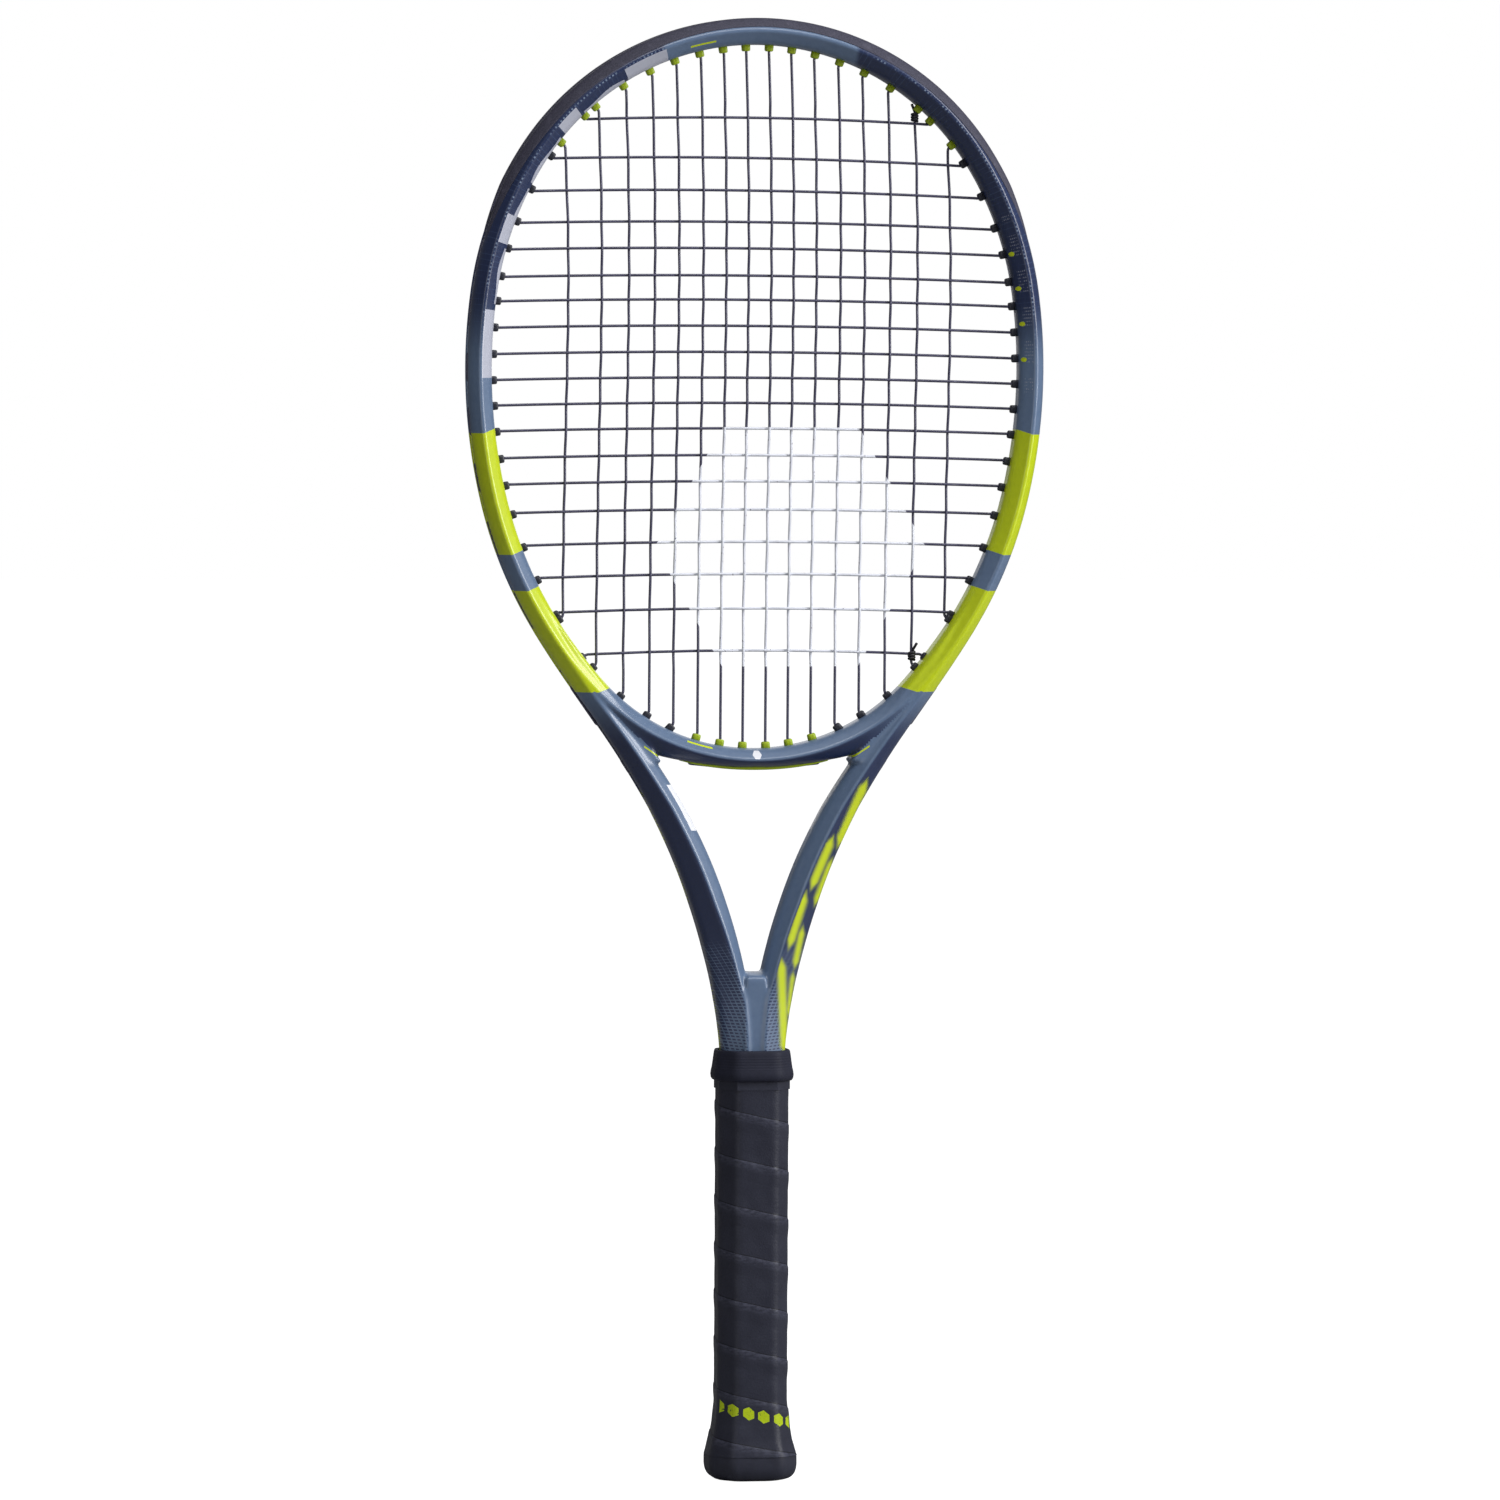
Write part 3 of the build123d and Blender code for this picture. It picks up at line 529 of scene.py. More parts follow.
def surface_net(distance, low, high, step):
    """Closed quad surface where a signed distance is zero, as (points, faces)."""
    counts = [int(np.ceil((b - a) / step)) + 1 for a, b in zip(low, high)]
    axes = [low[i] + step * np.arange(counts[i]) for i in range(3)]
    gx, gz = np.meshgrid(axes[0], axes[2], indexing="ij")
    values = np.stack([distance(gx, np.full(gx.shape, y), gz) for y in axes[1]], axis=1)
    inside = values < 0
    total = np.zeros([c - 1 for c in counts], int)
    for corner in np.ndindex(2, 2, 2):
        total += inside[tuple(slice(k, n - 1 + k) for k, n in zip(corner, counts))]
    cells = np.argwhere((total > 0) & (total < 8))
    number = np.full(total.shape, -1)
    number[tuple(cells.T)] = np.arange(len(cells))
    sums, hits = np.zeros((len(cells), 3)), np.zeros(len(cells))
    for axis in range(3):
        others = [k for k in range(3) if k != axis]
        for a, b in np.ndindex(2, 2):
            start = np.zeros(3, int)
            start[others[0]], start[others[1]] = a, b
            end = start.copy()
            end[axis] = 1
            va, vb = values[tuple((cells + start).T)], values[tuple((cells + end).T)]
            crossed = (va < 0) != (vb < 0)
            point = np.tile(start.astype(float), (len(cells), 1))
            point[:, axis] += np.where(crossed, va / np.where(crossed, va - vb, 1), 0)
            sums += point * crossed[:, None]
            hits += crossed
    points = np.array(low) + step * (cells + sums / hits[:, None])
    faces = []
    for axis in range(3):
        b, c = (axis + 1) % 3, (axis + 2) % 3
        lead, trail = [slice(None)] * 3, [slice(None)] * 3
        lead[axis], trail[axis] = slice(0, -1), slice(1, None)
        first, second = inside[tuple(lead)], inside[tuple(trail)]
        places = np.argwhere(first != second)
        places = places[(places[:, b] > 0) & (places[:, c] > 0)]
        places = places[(places[:, b] < counts[b] - 1) & (places[:, c] < counts[c] - 1)]
        shift_b, shift_c = np.eye(3, dtype=int)[b], np.eye(3, dtype=int)[c]
        corners = [places - shift_b - shift_c, places - shift_c, places, places - shift_b]
        quads = np.stack([number[tuple(p.T)] for p in corners], axis=1)
        flip = ~first[tuple(places.T)]
        quads[flip] = quads[flip][:, ::-1]
        faces.append(quads)
    return points, np.concatenate(faces)


def settle(points, distance, rounds=3):
    """Points moved onto the zero of the field."""
    reach, longest = 0.05, 0.6
    for _ in range(rounds):
        steps = [distance(*(points + way).T) - distance(*(points - way).T) for way in reach * np.eye(3)]
        slope = np.stack(steps, axis=1) / (2 * reach)
        size = np.maximum((slope**2).sum(1), 0.3)
        points = points - np.clip(distance(*points.T) / size, -longest, longest)[:, None] * slope
    return points


LIME, LIME_DEEP = linear("c8d80a"), linear("b6c800")
SLATE, SLATE_LIGHT = linear("566b8a"), linear("8194ad")
NAVY, NAVY_LINE = linear("1b2a50"), linear("415478")
TICK, PATCH, LABEL = linear("93a5bd"), linear("b4b7c6"), linear("e4e6ee")
LIME_BANDS = [(434.4, 491.0), (370.3, 417.6)]
SHOULDER_X = 46.0
SHOULDER_LOW_Z = (520.0, 556.0)
# Lime flames on the outer slope of the right shaft: first and last (x, z) point, full width
FLAMES = [
    ((52.6, 329.5), (38.6, 297.0), 5.2),
    ((36.4, 303.0), (25.6, 277.5), 4.6),
    ((36.6, 292.5), (28.0, 270.0), 3.4),
    ((23.4, 277.0), (15.2, 250.0), 4.4),
    ((22.4, 260.5), (18.6, 240.5), 3.4),
    ((11.6, 246.0), (14.4, 200.0), 4.6),
    ((18.0, 239.0), (15.8, 218.0), 2.6),
]
FLAME_DOTS = 1.05
# Grey patches on the left inner slope: (first, last) length along the rim, and inner share they cover
PATCH_BLOCKS = [(46, 68), (97, 109), (156, 170), (202, 234)]
PATCH_STRIPS = [(70, 95), (112, 138), (141, 156), (172, 199)]
NECK_GRID = (2.1, 1.5)
BADGE_Z, BADGE_REACH = 340.9, 1.9
LABEL_Z, LABEL_U = (305.5, 327), -4.3
DOT_PITCH, DOT_REACH = 17, 1.1
SHAFT_NAVY_Z, SOLID_NAVY_Z = (372, 345), (246, 256)
SHOULDER_TOP_Z = 600


def flame_depth(paint, side_x):
    """How deep inside a flame the surface is, in millimetres."""
    deepest = None
    for (x0, z0), (x1, z1), width in FLAMES:
        length = hypot(x1 - x0, z1 - z0)
        dx, dz = (x1 - x0) / length, (z1 - z0) / length
        near_x, near_z = side_x - x0, paint.z - z0
        run = near_x * dx + near_z * dz
        across = abs(near_x * dz - near_z * dx)
        taper = run.least(length - run) * 0.5
        depth = taper.least(width / 2) - across
        deepest = depth if deepest is None else deepest.most(depth)
    return deepest


def inside_any(value, spans):
    """One where the value is inside one of the spans."""
    share = None
    for low, high in spans:
        here = value.between(low, high)
        share = here if share is None else share + here
    return share


def frame_paint():
    paint = Paint("frame_paint")
    along, slope, offset = [paint.attribute(name) for name in ("along", "slope", "offset")]
    front = paint.y < 0
    side_x = paint.x * (front * 2 - 1)
    right, left = side_x > 0, side_x < 0
    outer, inner = slope.ramp(-0.4, 0.7), slope.ramp(0.4, -0.7)
    cloud = paint.noise(3.0)
    colour = paint.mix(cloud * 0.3, SLATE, SLATE_LIGHT)

    # navy on the shafts' outer slopes, breaking into a grid of dashes towards the neck's middle
    low = paint.z.ramp(*SHAFT_NAVY_Z)
    wide, high = NECK_GRID
    fill = ((paint.z - 203) * 0.014 + (offset + 4) * 0.035 + 0.3).least(0.96)
    row = abs((along + offset * 0.12).cell(high)) < fill * high * 0.46
    dashes = row * (abs((offset + along * 0.3).cell(wide)) < (fill * 0.5 + 0.42) * wide * 0.5)
    solid = paint.z.ramp(*SOLID_NAVY_Z)
    neck_navy = outer * low * solid.most(dashes)
    colour = paint.mix(neck_navy, colour, NAVY)
    fine_lines = (along.wave(2.6) > 0.9) * paint.noise(9.0).ramp(0.35, 0.65) * 0.5

    # navy shoulders with fine lines across and light ticks along the ridge
    top = paint.z > SHOULDER_TOP_Z
    shoulder = paint.z.ramp(*SHOULDER_LOW_Z) * (abs(paint.x) - SHOULDER_X).ramp(-1.5, 1.5).most(1 - top)
    colour = paint.mix(shoulder, colour, NAVY)
    colour = paint.mix(shoulder * fine_lines, colour, NAVY_LINE)
    ticks = (abs(slope + 0.3) < 0.4) * (along.wave(1.9) > 0.2) * shoulder * paint.noise(5.0).ramp(0.4, 0.6)
    colour = paint.mix(ticks * 0.6, colour, TICK)

    # grey patches on the left inner slope
    block = inside_any(along, PATCH_BLOCKS) * (slope < -0.9)
    strip = inside_any(along, PATCH_STRIPS) * (slope < (along.wave(26) * 0.5 - 4.9))
    colour = paint.mix((block + strip).least(1) * left * (paint.z > 480), colour, PATCH)

    # small printed dashes and dots on the right inner slope
    row = (along.wave(1.6) > 0.35) * (abs(slope + 3.2) < 1.7) * (offset.wave(0.8) > -0.2)
    print_zone = right * along.between(155, 240) * (along.wave(17) > -0.35)
    colour = paint.mix(row * print_zone * paint.noise(1.2).ramp(0.42, 0.5) * 0.45, colour, PATCH)
    dot = hypot_term(along.cell(DOT_PITCH) + 5, slope + 5.3) < DOT_REACH
    colour = paint.mix(dot * right * along.between(158, 240), colour, LIME)

    # lime flames with dotted rims
    dots = paint.x.wave(FLAME_DOTS) * paint.z.wave(FLAME_DOTS)
    flame = ((flame_depth(paint, side_x) * 0.4 + dots * 0.55) > 0.12) * (slope > 0.5) * (paint.z < 335)
    colour = paint.mix(flame, colour, LIME)

    # lime bands round the lower hoop
    height = paint.z - inner * (slope * -0.35)
    band = inside_any(height, LIME_BANDS)
    colour = paint.mix(band, colour, paint.mix(cloud, LIME_DEEP, LIME))

    # thin lime dashes at the yoke, the bridge and the top, and the blank label on the left shaft
    across = abs((abs(paint.x) - 53.7) * 0.558 + (paint.z - 345) * -0.83)
    yoke = (across < 0.35) * abs(paint.x).between(43.6, 53.6) * paint.z.between(336, 347)
    colour = paint.mix(yoke, colour, LIME)
    dash_height = (paint.z > 640) + paint.z.between(338, 352)
    dash = (abs(slope + 3.6) < 0.4) * side_x.between(-33, -21) * dash_height
    colour = paint.mix(dash, colour, LIME)
    label = left * paint.z.between(*LABEL_Z) * (offset < LABEL_U)
    colour = paint.mix(label, colour, LABEL)
    badge = hexagon(side_x, paint.z - BADGE_Z, BADGE_REACH)
    colour = paint.mix(badge, colour, LABEL)

    flakes = paint.noise(0.25, 1.0)
    roughness = flakes * 0.1 + 0.34 + label * 0.25
    paint.bump(flakes * 0.12 + band * 1.0 + flame + label * 2, 0.012)
    return paint.finish(colour, roughness, coat=0.35, coat_roughness=0.22)


def hypot_term(a, b):
    return (a * a + b * b).do("SQRT")


def hexagon(a, b, reach):
    """One inside a hexagon with flat top and bottom, reach being the distance to its sides."""
    a, b = abs(a), abs(b)
    return (b.most(a * 0.866 + b * 0.5)) < reach


def make_frame():
    step = GRID

    def closed_frame(x, y, z):
        return np.maximum(frame_distance(x, y, z), SHELL_LOW_Z + 1 - z)

    points, faces = surface_net(closed_frame, GRID_LOW, GRID_HIGH, step)
    points = settle(points, closed_frame)
    shell = mesh_object("frame_shell", points, faces)
    x, z = np.abs(points[:, 0]), points[:, 2]
    ring_u, ring_run = along_chain(RING, x, z)
    shaft_u, shaft_run = along_shaft(x, z)
    on_ring = (z > 400) | ((np.abs(ring_u) < np.abs(shaft_u)) & (z > 300))
    ridge = np.where(on_ring, HOOP_RIDGE_U, np.interp(z, RIDGE_Z, RIDGE_U))
    offset = np.where(on_ring, ring_u, shaft_u)
    add_attribute(shell, "offset", offset)
    add_attribute(shell, "along", np.where(on_ring, ring_run, shaft_run))
    add_attribute(shell, "slope", offset - ridge)
    install(shell, frame_paint(), "frame_paint", "frame_hairpin", "throat_bridge", "throat_web")


make_frame()


# ---------- grommets and strips
MAIN_X = [5.4, 16.0, 26.9, 38.4, 49.9, 62.2, 75.1, 90.9]
CROSS_Z = [636.5, 617.7, 602.5, 587.8, 575.5, 562.8, 551.5, 539.3, 527.1, 515.1]
CROSS_Z += [503.3, 491.4, 478.9, 466.7, 453.5, 438.4, 423.3, 407.2, 387.5]
MAIN_Y, CROSS_Y = -0.7, 0.7
MOUTH_BEND = 3.5
RUN_U = -TUBE_HALF - MOUTH_BEND
HEAD_LOOP_U, SIDE_LOOP_U = 5.9, 5.1
BUMPER_END, BUMPER_TIP = 18.0, 14.0
HEAD_STRIP_END = 37.0
SIDE_STRIP_END = -31.0
THROAT_TURN_Z = 334.6
CROSS_TILT = 1.3
SHOULDER_LEAN = [42.0, 30.0, 38.9, 48.1]
THROAT_RUN, THROAT_HALF, THROAT_PROUD = 34.7, 4.3, 1.1
BARREL_HALF = 1.9
BARREL_LIP = 2.9
BARREL_BORE = 0.85


def solve_angle(wanted, axis, high, low, u=0.0):
    """Normal angle on the hoop where coordinate 0 (x) or 1 (z) of the offset line is the wanted one."""
    rising = on_hoop(low, u)[axis] > on_hoop(high, u)[axis]
    for _ in range(50):
        middle = (high + low) / 2
        if (on_hoop(middle, u)[axis] < wanted) == rising:
            high = middle
        else:
            low = middle
    return (high + low) / 2


# Each grommet: mouth (x, z) on the bed's outline, outward direction, length to the string's turn outside.
def hoop_grommet(angle):
    x, z = on_hoop(angle, -TUBE_HALF)
    loop_u = HEAD_LOOP_U if angle > BUMPER_END else SIDE_LOOP_U
    return np.array((x, z)), np.array((cos(radians(angle)), sin(radians(angle)))), TUBE_HALF + loop_u


def shoulder_grommet(run_x, lean):
    way = np.array((sin(radians(lean)), -cos(radians(lean))))
    x = run_x + MOUTH_BEND * way[0]
    mouth = np.array((x, BED_CENTRE_Z - sqrt(BED_RADIUS**2 - x**2)))
    reach = np.linspace(0, 60, 601)
    offset, _ = along_chain(RIM[2:HOOP_ARC_COUNT + 1], mouth[0] + way[0] * reach, mouth[1] + way[1] * reach)
    return mouth, way, reach[np.argmax((offset > SIDE_LOOP_U) & (offset < TUBE_HALF))]


def throat_grommet(run_x):
    side = run_x / (BED_RADIUS - MOUTH_BEND)
    way = np.array((side, -sqrt(1 - side**2)))
    mouth = np.array((BED_RADIUS * side, BED_CENTRE_Z - BED_RADIUS * sqrt(1 - side**2)))
    turn_z = THROAT_TURN_Z + mouth[0] ** 2 / (2 * BRIDGE_RADIUS)
    return mouth, way, (turn_z - mouth[1]) / way[1]


def other_side(grommet):
    mouth, way, turn = grommet
    return mouth * (-1, 1), way * (-1, 1), turn


main_top = [hoop_grommet(solve_angle(x, 0, 90, 10, RUN_U)) for x in MAIN_X]
cross_tilt = [CROSS_TILT * max(0.0, (z - 440) / 200) for z in CROSS_Z]
cross_tilt[0] /= 2


def cross_row(side):
    """The grommets of the crosses on one side; the upper crosses lie a little lower on the right."""
    places = [(z - side * tilt) for z, tilt in zip(CROSS_Z, cross_tilt)]
    row = [hoop_grommet(solve_angle(z, 1, 90, -36.5, RUN_U)) for z in places]
    return row if side > 0 else [other_side(g) for g in row]


cross_right, cross_left = cross_row(1), cross_row(-1)
main_foot = [throat_grommet(x) for x in MAIN_X[:3]]
main_foot += [shoulder_grommet(x, lean) for x, lean in zip(MAIN_X[3:7], SHOULDER_LEAN)]
main_foot.append(hoop_grommet(solve_angle(MAIN_X[7], 0, 0, -36.5, RUN_U)))


def barrel(grommet, y):
    """A rounded square sleeve round the string, as (points, faces)."""
    mouth, way, _ = grommet
    turns = np.arange(16) * tau / 16 + tau / 32

    def ring(out, half, squareness):
        reach = half * (np.cos(turns) ** squareness + np.sin(turns) ** squareness) ** (-1 / squareness)
        side, rise = reach * np.cos(turns), reach * np.sin(turns)
        x = mouth[0] - way[0] * out - way[1] * side
        z = mouth[1] - way[1] * out + way[0] * side
        return np.stack([x, y + rise, z], axis=1)

    half, lip = BARREL_HALF, BARREL_LIP
    rings = [ring(-1.5, half + 0.1, 6), ring(lip - 0.9, half, 6), ring(lip - 0.35, half - 0.08, 6)]
    rings += [ring(lip, half - 0.45, 4), ring(lip, BARREL_BORE, 2), ring(lip - 1.6, BARREL_BORE - 0.1, 2)]
    return skin(rings)


def band_along(chain, first, last, section, step=2.0):
    """A section in (u, v) carried along arcs of the right half between two normal angles."""
    rings = []
    for arc in chain:
        _, _, radius, high, low, _ = arc
        inner, outer = (min, max) if radius > 0 else (max, min)
        start, end = inner(first, high), outer(last, low)
        if (start - end) * radius <= 1e-6:
            continue
        count = max(2, int(abs(radians(start - end) * radius) / step))
        for angle in np.linspace(start, end, count + 1)[1 if rings else 0:]:
            out = np.array((cos(radians(angle)), 0, sin(radians(angle))))
            x, z = on_arc(arc, angle)
            outline = section(angle) if callable(section) else section
            rings.append(np.array([np.array((x, v, z)) + u * out for u, v in outline]))
    return rings


def both_sides(rings):
    """Rings from the tip down the right, run on up from the left."""
    return [ring * (-1, 1, 1) for ring in reversed(rings[1:])] + rings


STRIP_FACE = GROOVE_FLOOR + STRIP_THICK
STRIP_SECTION = softened(both_ways([
    (GROOVE_FLOOR, -STRIP_HALF), (STRIP_FACE + STRIP_LIP, -STRIP_HALF),
    (STRIP_FACE + STRIP_LIP, -STRIP_HALF + 0.6), (STRIP_FACE, -STRIP_HALF + 0.8),
]), 0.1)


def nylon(name, colour, shade):
    paint = Paint(name)
    mottle = paint.noise(2.5)
    fine = paint.noise(0.35)
    paint.bump(fine, 0.02)
    return paint.finish(paint.mix(mottle, colour, shade), fine * 0.2 + 0.38)


lime_nylon = nylon("lime_nylon", linear("a9bf10"), linear("8fa60c"))
dark_nylon = nylon("dark_nylon", linear("20222c"), linear("2c2e3a"))


def make_strips():
    head = both_sides(band_along(HOOP, 90, HEAD_STRIP_END, STRIP_SECTION))
    sleeves = [barrel(g, MAIN_Y) for g in main_top]
    parts = [skin(head), barrel(cross_right[0], CROSS_Y), barrel(cross_left[0], CROSS_Y)]
    parts += sleeves + [mirrored(s) for s in sleeves]
    install(mesh_object("head_strip", *joined(parts)), lime_nylon, "lime_nylon", "head_grommet_strip")

    rings = band_along(HOOP, HEAD_STRIP_END - 0.3, RIM[HOOP_ARC_COUNT][3], STRIP_SECTION)
    rings += band_along(RIM[HOOP_ARC_COUNT:], RIM[HOOP_ARC_COUNT][3], SIDE_STRIP_END, STRIP_SECTION)[1:]
    sleeves = [skin(rings)] + [barrel(g, MAIN_Y) for g in main_foot[3:]]
    right = joined(sleeves + [barrel(g, CROSS_Y) for g in cross_right[1:]])
    left_sleeves = [barrel(g, CROSS_Y) for g in cross_left[1:]]
    left = joined([mirrored(s) for s in sleeves] + left_sleeves)
    for side, part in (("right", right), ("left", left)):
        strip = mesh_object("side_strip_" + side, *part)
        install(strip, dark_nylon, "dark_nylon", "side_grommet_strip_" + side)


def make_throat_strip():
    """The lime strip under the bridge, thin at its ends, with a channel for the string loops."""
    rings = []
    for x in np.linspace(-THROAT_RUN, THROAT_RUN, 61):
        low = BRIDGE_LOW_Z + x**2 / (2 * BRIDGE_RADIUS)
        proud = THROAT_PROUD * (1 - abs(x / THROAT_RUN) ** 3) + 0.1
        outline = both_ways([(-1.5, -THROAT_HALF), (proud, -THROAT_HALF), (proud, -2.3), (-0.2, -2.1)])
        rings.append([(x, v, low - drop) for drop, v in softened(outline, 0.12)])
    sleeves = [barrel(g, MAIN_Y) for g in main_foot[:3]]
    parts = [skin(rings)] + sleeves + [mirrored(s) for s in sleeves]
    install(mesh_object("throat_strip", *joined(parts)), lime_nylon, "lime_nylon", "throat_grommet_strip")


make_strips()
make_throat_strip()


# ---------- bumper
def bumper_section(angle):
    """The guard's section at a normal angle: wide at the shoulders, thin where it ends."""
    edge_u = np.interp(angle, [BUMPER_TIP, 20, 28, 38, 55, 78, 90], [4.9, 4.2, 3.0, 2.0, 1.5, 2.1, 2.3])
    thick = np.interp(angle, [BUMPER_TIP, 26, 90], [0.1, 1.0, 1.0])
    slope = (RIDGE_DEPTH - OUTER_FLAT) / (TUBE_HALF - HOOP_RIDGE_U)
    foot_v = min(RIDGE_DEPTH - (edge_u - HOOP_RIDGE_U) * slope, 10.9) - 0.35 - 0.9 * (1 - thick)
    face_u = TUBE_HALF - 1.2 * (1 - thick)
    lip_u, wall_u = face_u + thick, face_u - 0.2
    rim = 0.35 * thick
    crown = [(edge_u, foot_v), (edge_u + rim, foot_v + rim), (face_u + 0.2, 5.8 + 1.6 * thick)]
    crown += [(lip_u, 6.1), (lip_u, 2.5), (lip_u - 0.3, 2.2), (min(4.85, lip_u - 0.6), 2.2)]
    hollow = both_ways([(wall_u, -6.0), (wall_u, -STRIP_HALF), (4.05, -STRIP_HALF)])
    return softened(both_ways(crown) + hollow, 0.18)


def bumper_nylon():
    paint = Paint("bumper_nylon")
    speckle = paint.noise(0.5, 3.0)
    scuff = paint.noise(6.0, 4.0)
    colour = paint.mix(speckle.ramp(0.35, 0.65), linear("29293a"), linear("3f3e50"))
    colour = paint.mix(scuff.ramp(0.58, 0.75) * 0.3, colour, linear("5c5b6c"))
    paint.bump(speckle, 0.12)
    return paint.finish(colour, speckle * 0.2 + 0.55)


def make_bumper():
    rings = both_sides(band_along(HOOP, 90, BUMPER_TIP, bumper_section))
    install(mesh_object("bumper", *skin(rings)), bumper_nylon(), "bumper_nylon", "bumper_guard")


make_bumper()


# ---------- strings
STRING_R = 0.65
WEAVE = 0.62
STRING_SIDES = 8
EXIT_RADIUS, MOUTH_RADIUS = 0.9, 3.0
CROSS_BOW = 2.0
MAIN_BOW, MAIN_BOW_LEAN = 2.0, 1.9
STEP_BED = 1.9
# The stencil hexagon as (x, z, reach), and the knots on the seventh main as (height, tail lean)
STENCIL = (17.0, 438.0, 56.0)
KNOTS = [(639.5, -1.6), (387.0, 1.6)]
KNOT_REACH, KNOT_HALF, KNOT_TURNS = 1.3, 2.0, 3.2
ALL_MAINS = [-x for x in reversed(MAIN_X)] + MAIN_X


def cross_height(number, x):
    """Height of a cross string at x: it bows up a little between the frame's sides."""
    share = np.asarray(x) / cross_right[number][0][0]
    return CROSS_Z[number] - cross_tilt[number] * share + CROSS_BOW * (1 - share**2)


def main_bow(number, z):
    """How far right of its grommets a main lies at a height."""
    pair = int(abs(number - (len(ALL_MAINS) - 1) / 2))
    low, high = main_foot[pair][0][1], main_top[pair][0][1]
    share = np.clip((z - low) / (high - low), 0, 1)
    return MAIN_BOW * np.sin(pi * share**MAIN_BOW_LEAN)


def nearest_main(x):
    return int(np.argmin([abs(x - main) for main in ALL_MAINS]))


def rounded_path(stops):
    """Points (x, z) through (point, bend radius) stops, long runs cut short enough to weave."""
    path = []
    places = [np.array(p, float) for p, _ in stops]
    last = places[0]
    for k, (_, radius) in enumerate(stops):
        here = places[k]
        if 0 < k < len(places) - 1:
            back, onward = places[k - 1] - here, places[k + 1] - here
            long_back, long_on = np.hypot(*back), np.hypot(*onward)
            turn = pi - np.arccos(np.clip(back @ onward / (long_back * long_on), -1, 1))
            cut = min(radius * np.tan(turn / 2), 0.45 * long_back, 0.45 * long_on)
            a, b = here + back / long_back * cut, here + onward / long_on * cut
            t = np.linspace(0, 1, 5)[:, None]
            bend = (1 - t) ** 2 * a + 2 * t * (1 - t) * here + t**2 * b
        else:
            bend = here[None]
        gap = np.hypot(*(bend[0] - last))
        count = int(gap / STEP_BED)
        path += [last + (bend[0] - last) * (i + 1) / (count + 1) for i in range(count)]
        path += list(bend)
        last = bend[-1]
    return np.array(path)


def smooth_levels(value, knots, levels):
    """Cosine steps between levels at rising knots."""
    place = np.clip(np.searchsorted(knots, value) - 1, 0, len(knots) - 2)
    share = np.clip((value - knots[place]) / (knots[place + 1] - knots[place]), 0, 1)
    return levels[place] + (levels[place + 1] - levels[place]) * (1 - np.cos(pi * share)) / 2


def string_route(first_row, second_row):
    """Stops of one string that runs to and fro between two rows of grommets."""
    route, last = [], None
    for number, (first, second) in enumerate(zip(first_row, second_row)):
        near, far = (first, second) if number % 2 == 0 else (second, first)
        if last is not None and last[1][0] * near[1][0] > 0 and abs(near[1][0]) > 0.2:
            middle = loop_middle(last, near)
            route += middle
        for grommet, inward in ((near, False), (far, True)):
            mouth, way, turn = grommet
            ends = [(mouth + way * turn, EXIT_RADIUS), (mouth - way * MOUTH_BEND, MOUTH_RADIUS)]
            route += ends[::-1] if inward else ends
        last = far
    return route


def loop_middle(first, second):
    """The middle of a loop in the hoop's groove."""
    straight = {TUBE_HALF + HEAD_LOOP_U, TUBE_HALF + SIDE_LOOP_U}
    if first[2] not in straight or second[2] not in straight:
        return []
    bearing = np.degrees(np.mean([np.arctan2(g[1][1], abs(g[1][0])) for g in (first, second)]))
    x, z = on_hoop(bearing, (first[2] + second[2]) / 2 - TUBE_HALF)
    return [(np.array((x if first[1][0] > 0 else -x, z)), 20.0)]


def round_string(path):
    """(points, faces) of a round string along points (x, y, z)."""
    path = np.asarray(path)
    way = np.gradient(path, axis=0)
    way /= np.linalg.norm(way, axis=1)[:, None]
    side = np.cross(way, (0, 1, 0))
    side /= np.linalg.norm(side, axis=1)[:, None]
    rise = np.cross(side, way)
    turns = np.arange(STRING_SIDES) * tau / STRING_SIDES
    rings = [
        p + STRING_R * (np.cos(turns)[:, None] * s + np.sin(turns)[:, None] * r)
        for p, s, r in zip(path, side, rise)
    ]
    return skin(rings)


def main_depth(x, z):
    """y of a main string at its height, over and under the crosses."""
    number = nearest_main(x)
    crossed = [j for j in range(len(CROSS_Z)) if abs(ALL_MAINS[number]) < cross_right[j][0][0] - 4]
    knots = [cross_height(j, ALL_MAINS[number]) for j in reversed(crossed)]
    levels = [WEAVE * (-1) ** (number + j) for j in reversed(crossed)]
    knots, levels = [knots[0] - 9] + knots + [knots[-1] + 9], [MAIN_Y] + levels + [MAIN_Y]
    return smooth_levels(z, np.array(knots), np.array(levels))


def cross_depth(x, number):
    reach = cross_right[number][0][0]
    met = [i for i, main in enumerate(ALL_MAINS) if abs(main) < reach - 3]
    knots = [ALL_MAINS[i] + main_bow(i, CROSS_Z[number]) for i in met]
    levels = [-WEAVE * (-1) ** (i + number) for i in met]
    knots = [knots[0] - 7] + knots + [knots[-1] + 7]
    return smooth_levels(x, np.array(knots), np.array([CROSS_Y] + levels + [CROSS_Y]))


def main_path():
    foot = [other_side(g) for g in reversed(main_foot)] + main_foot
    top = [other_side(g) for g in reversed(main_top)] + main_top
    flat = rounded_path(string_route(foot, top))
    offset, _ = along_chain(RING, np.abs(flat[:, 0]), flat[:, 1])
    in_bed = offset < -TUBE_HALF - 2
    depth = [main_depth(x, z) if bed else MAIN_Y for (x, z), bed in zip(flat, in_bed)]
    bow = [main_bow(nearest_main(x), z) if bed else 0 for (x, z), bed in zip(flat, in_bed)]
    return np.stack([flat[:, 0] + bow, depth, flat[:, 1]], axis=1)


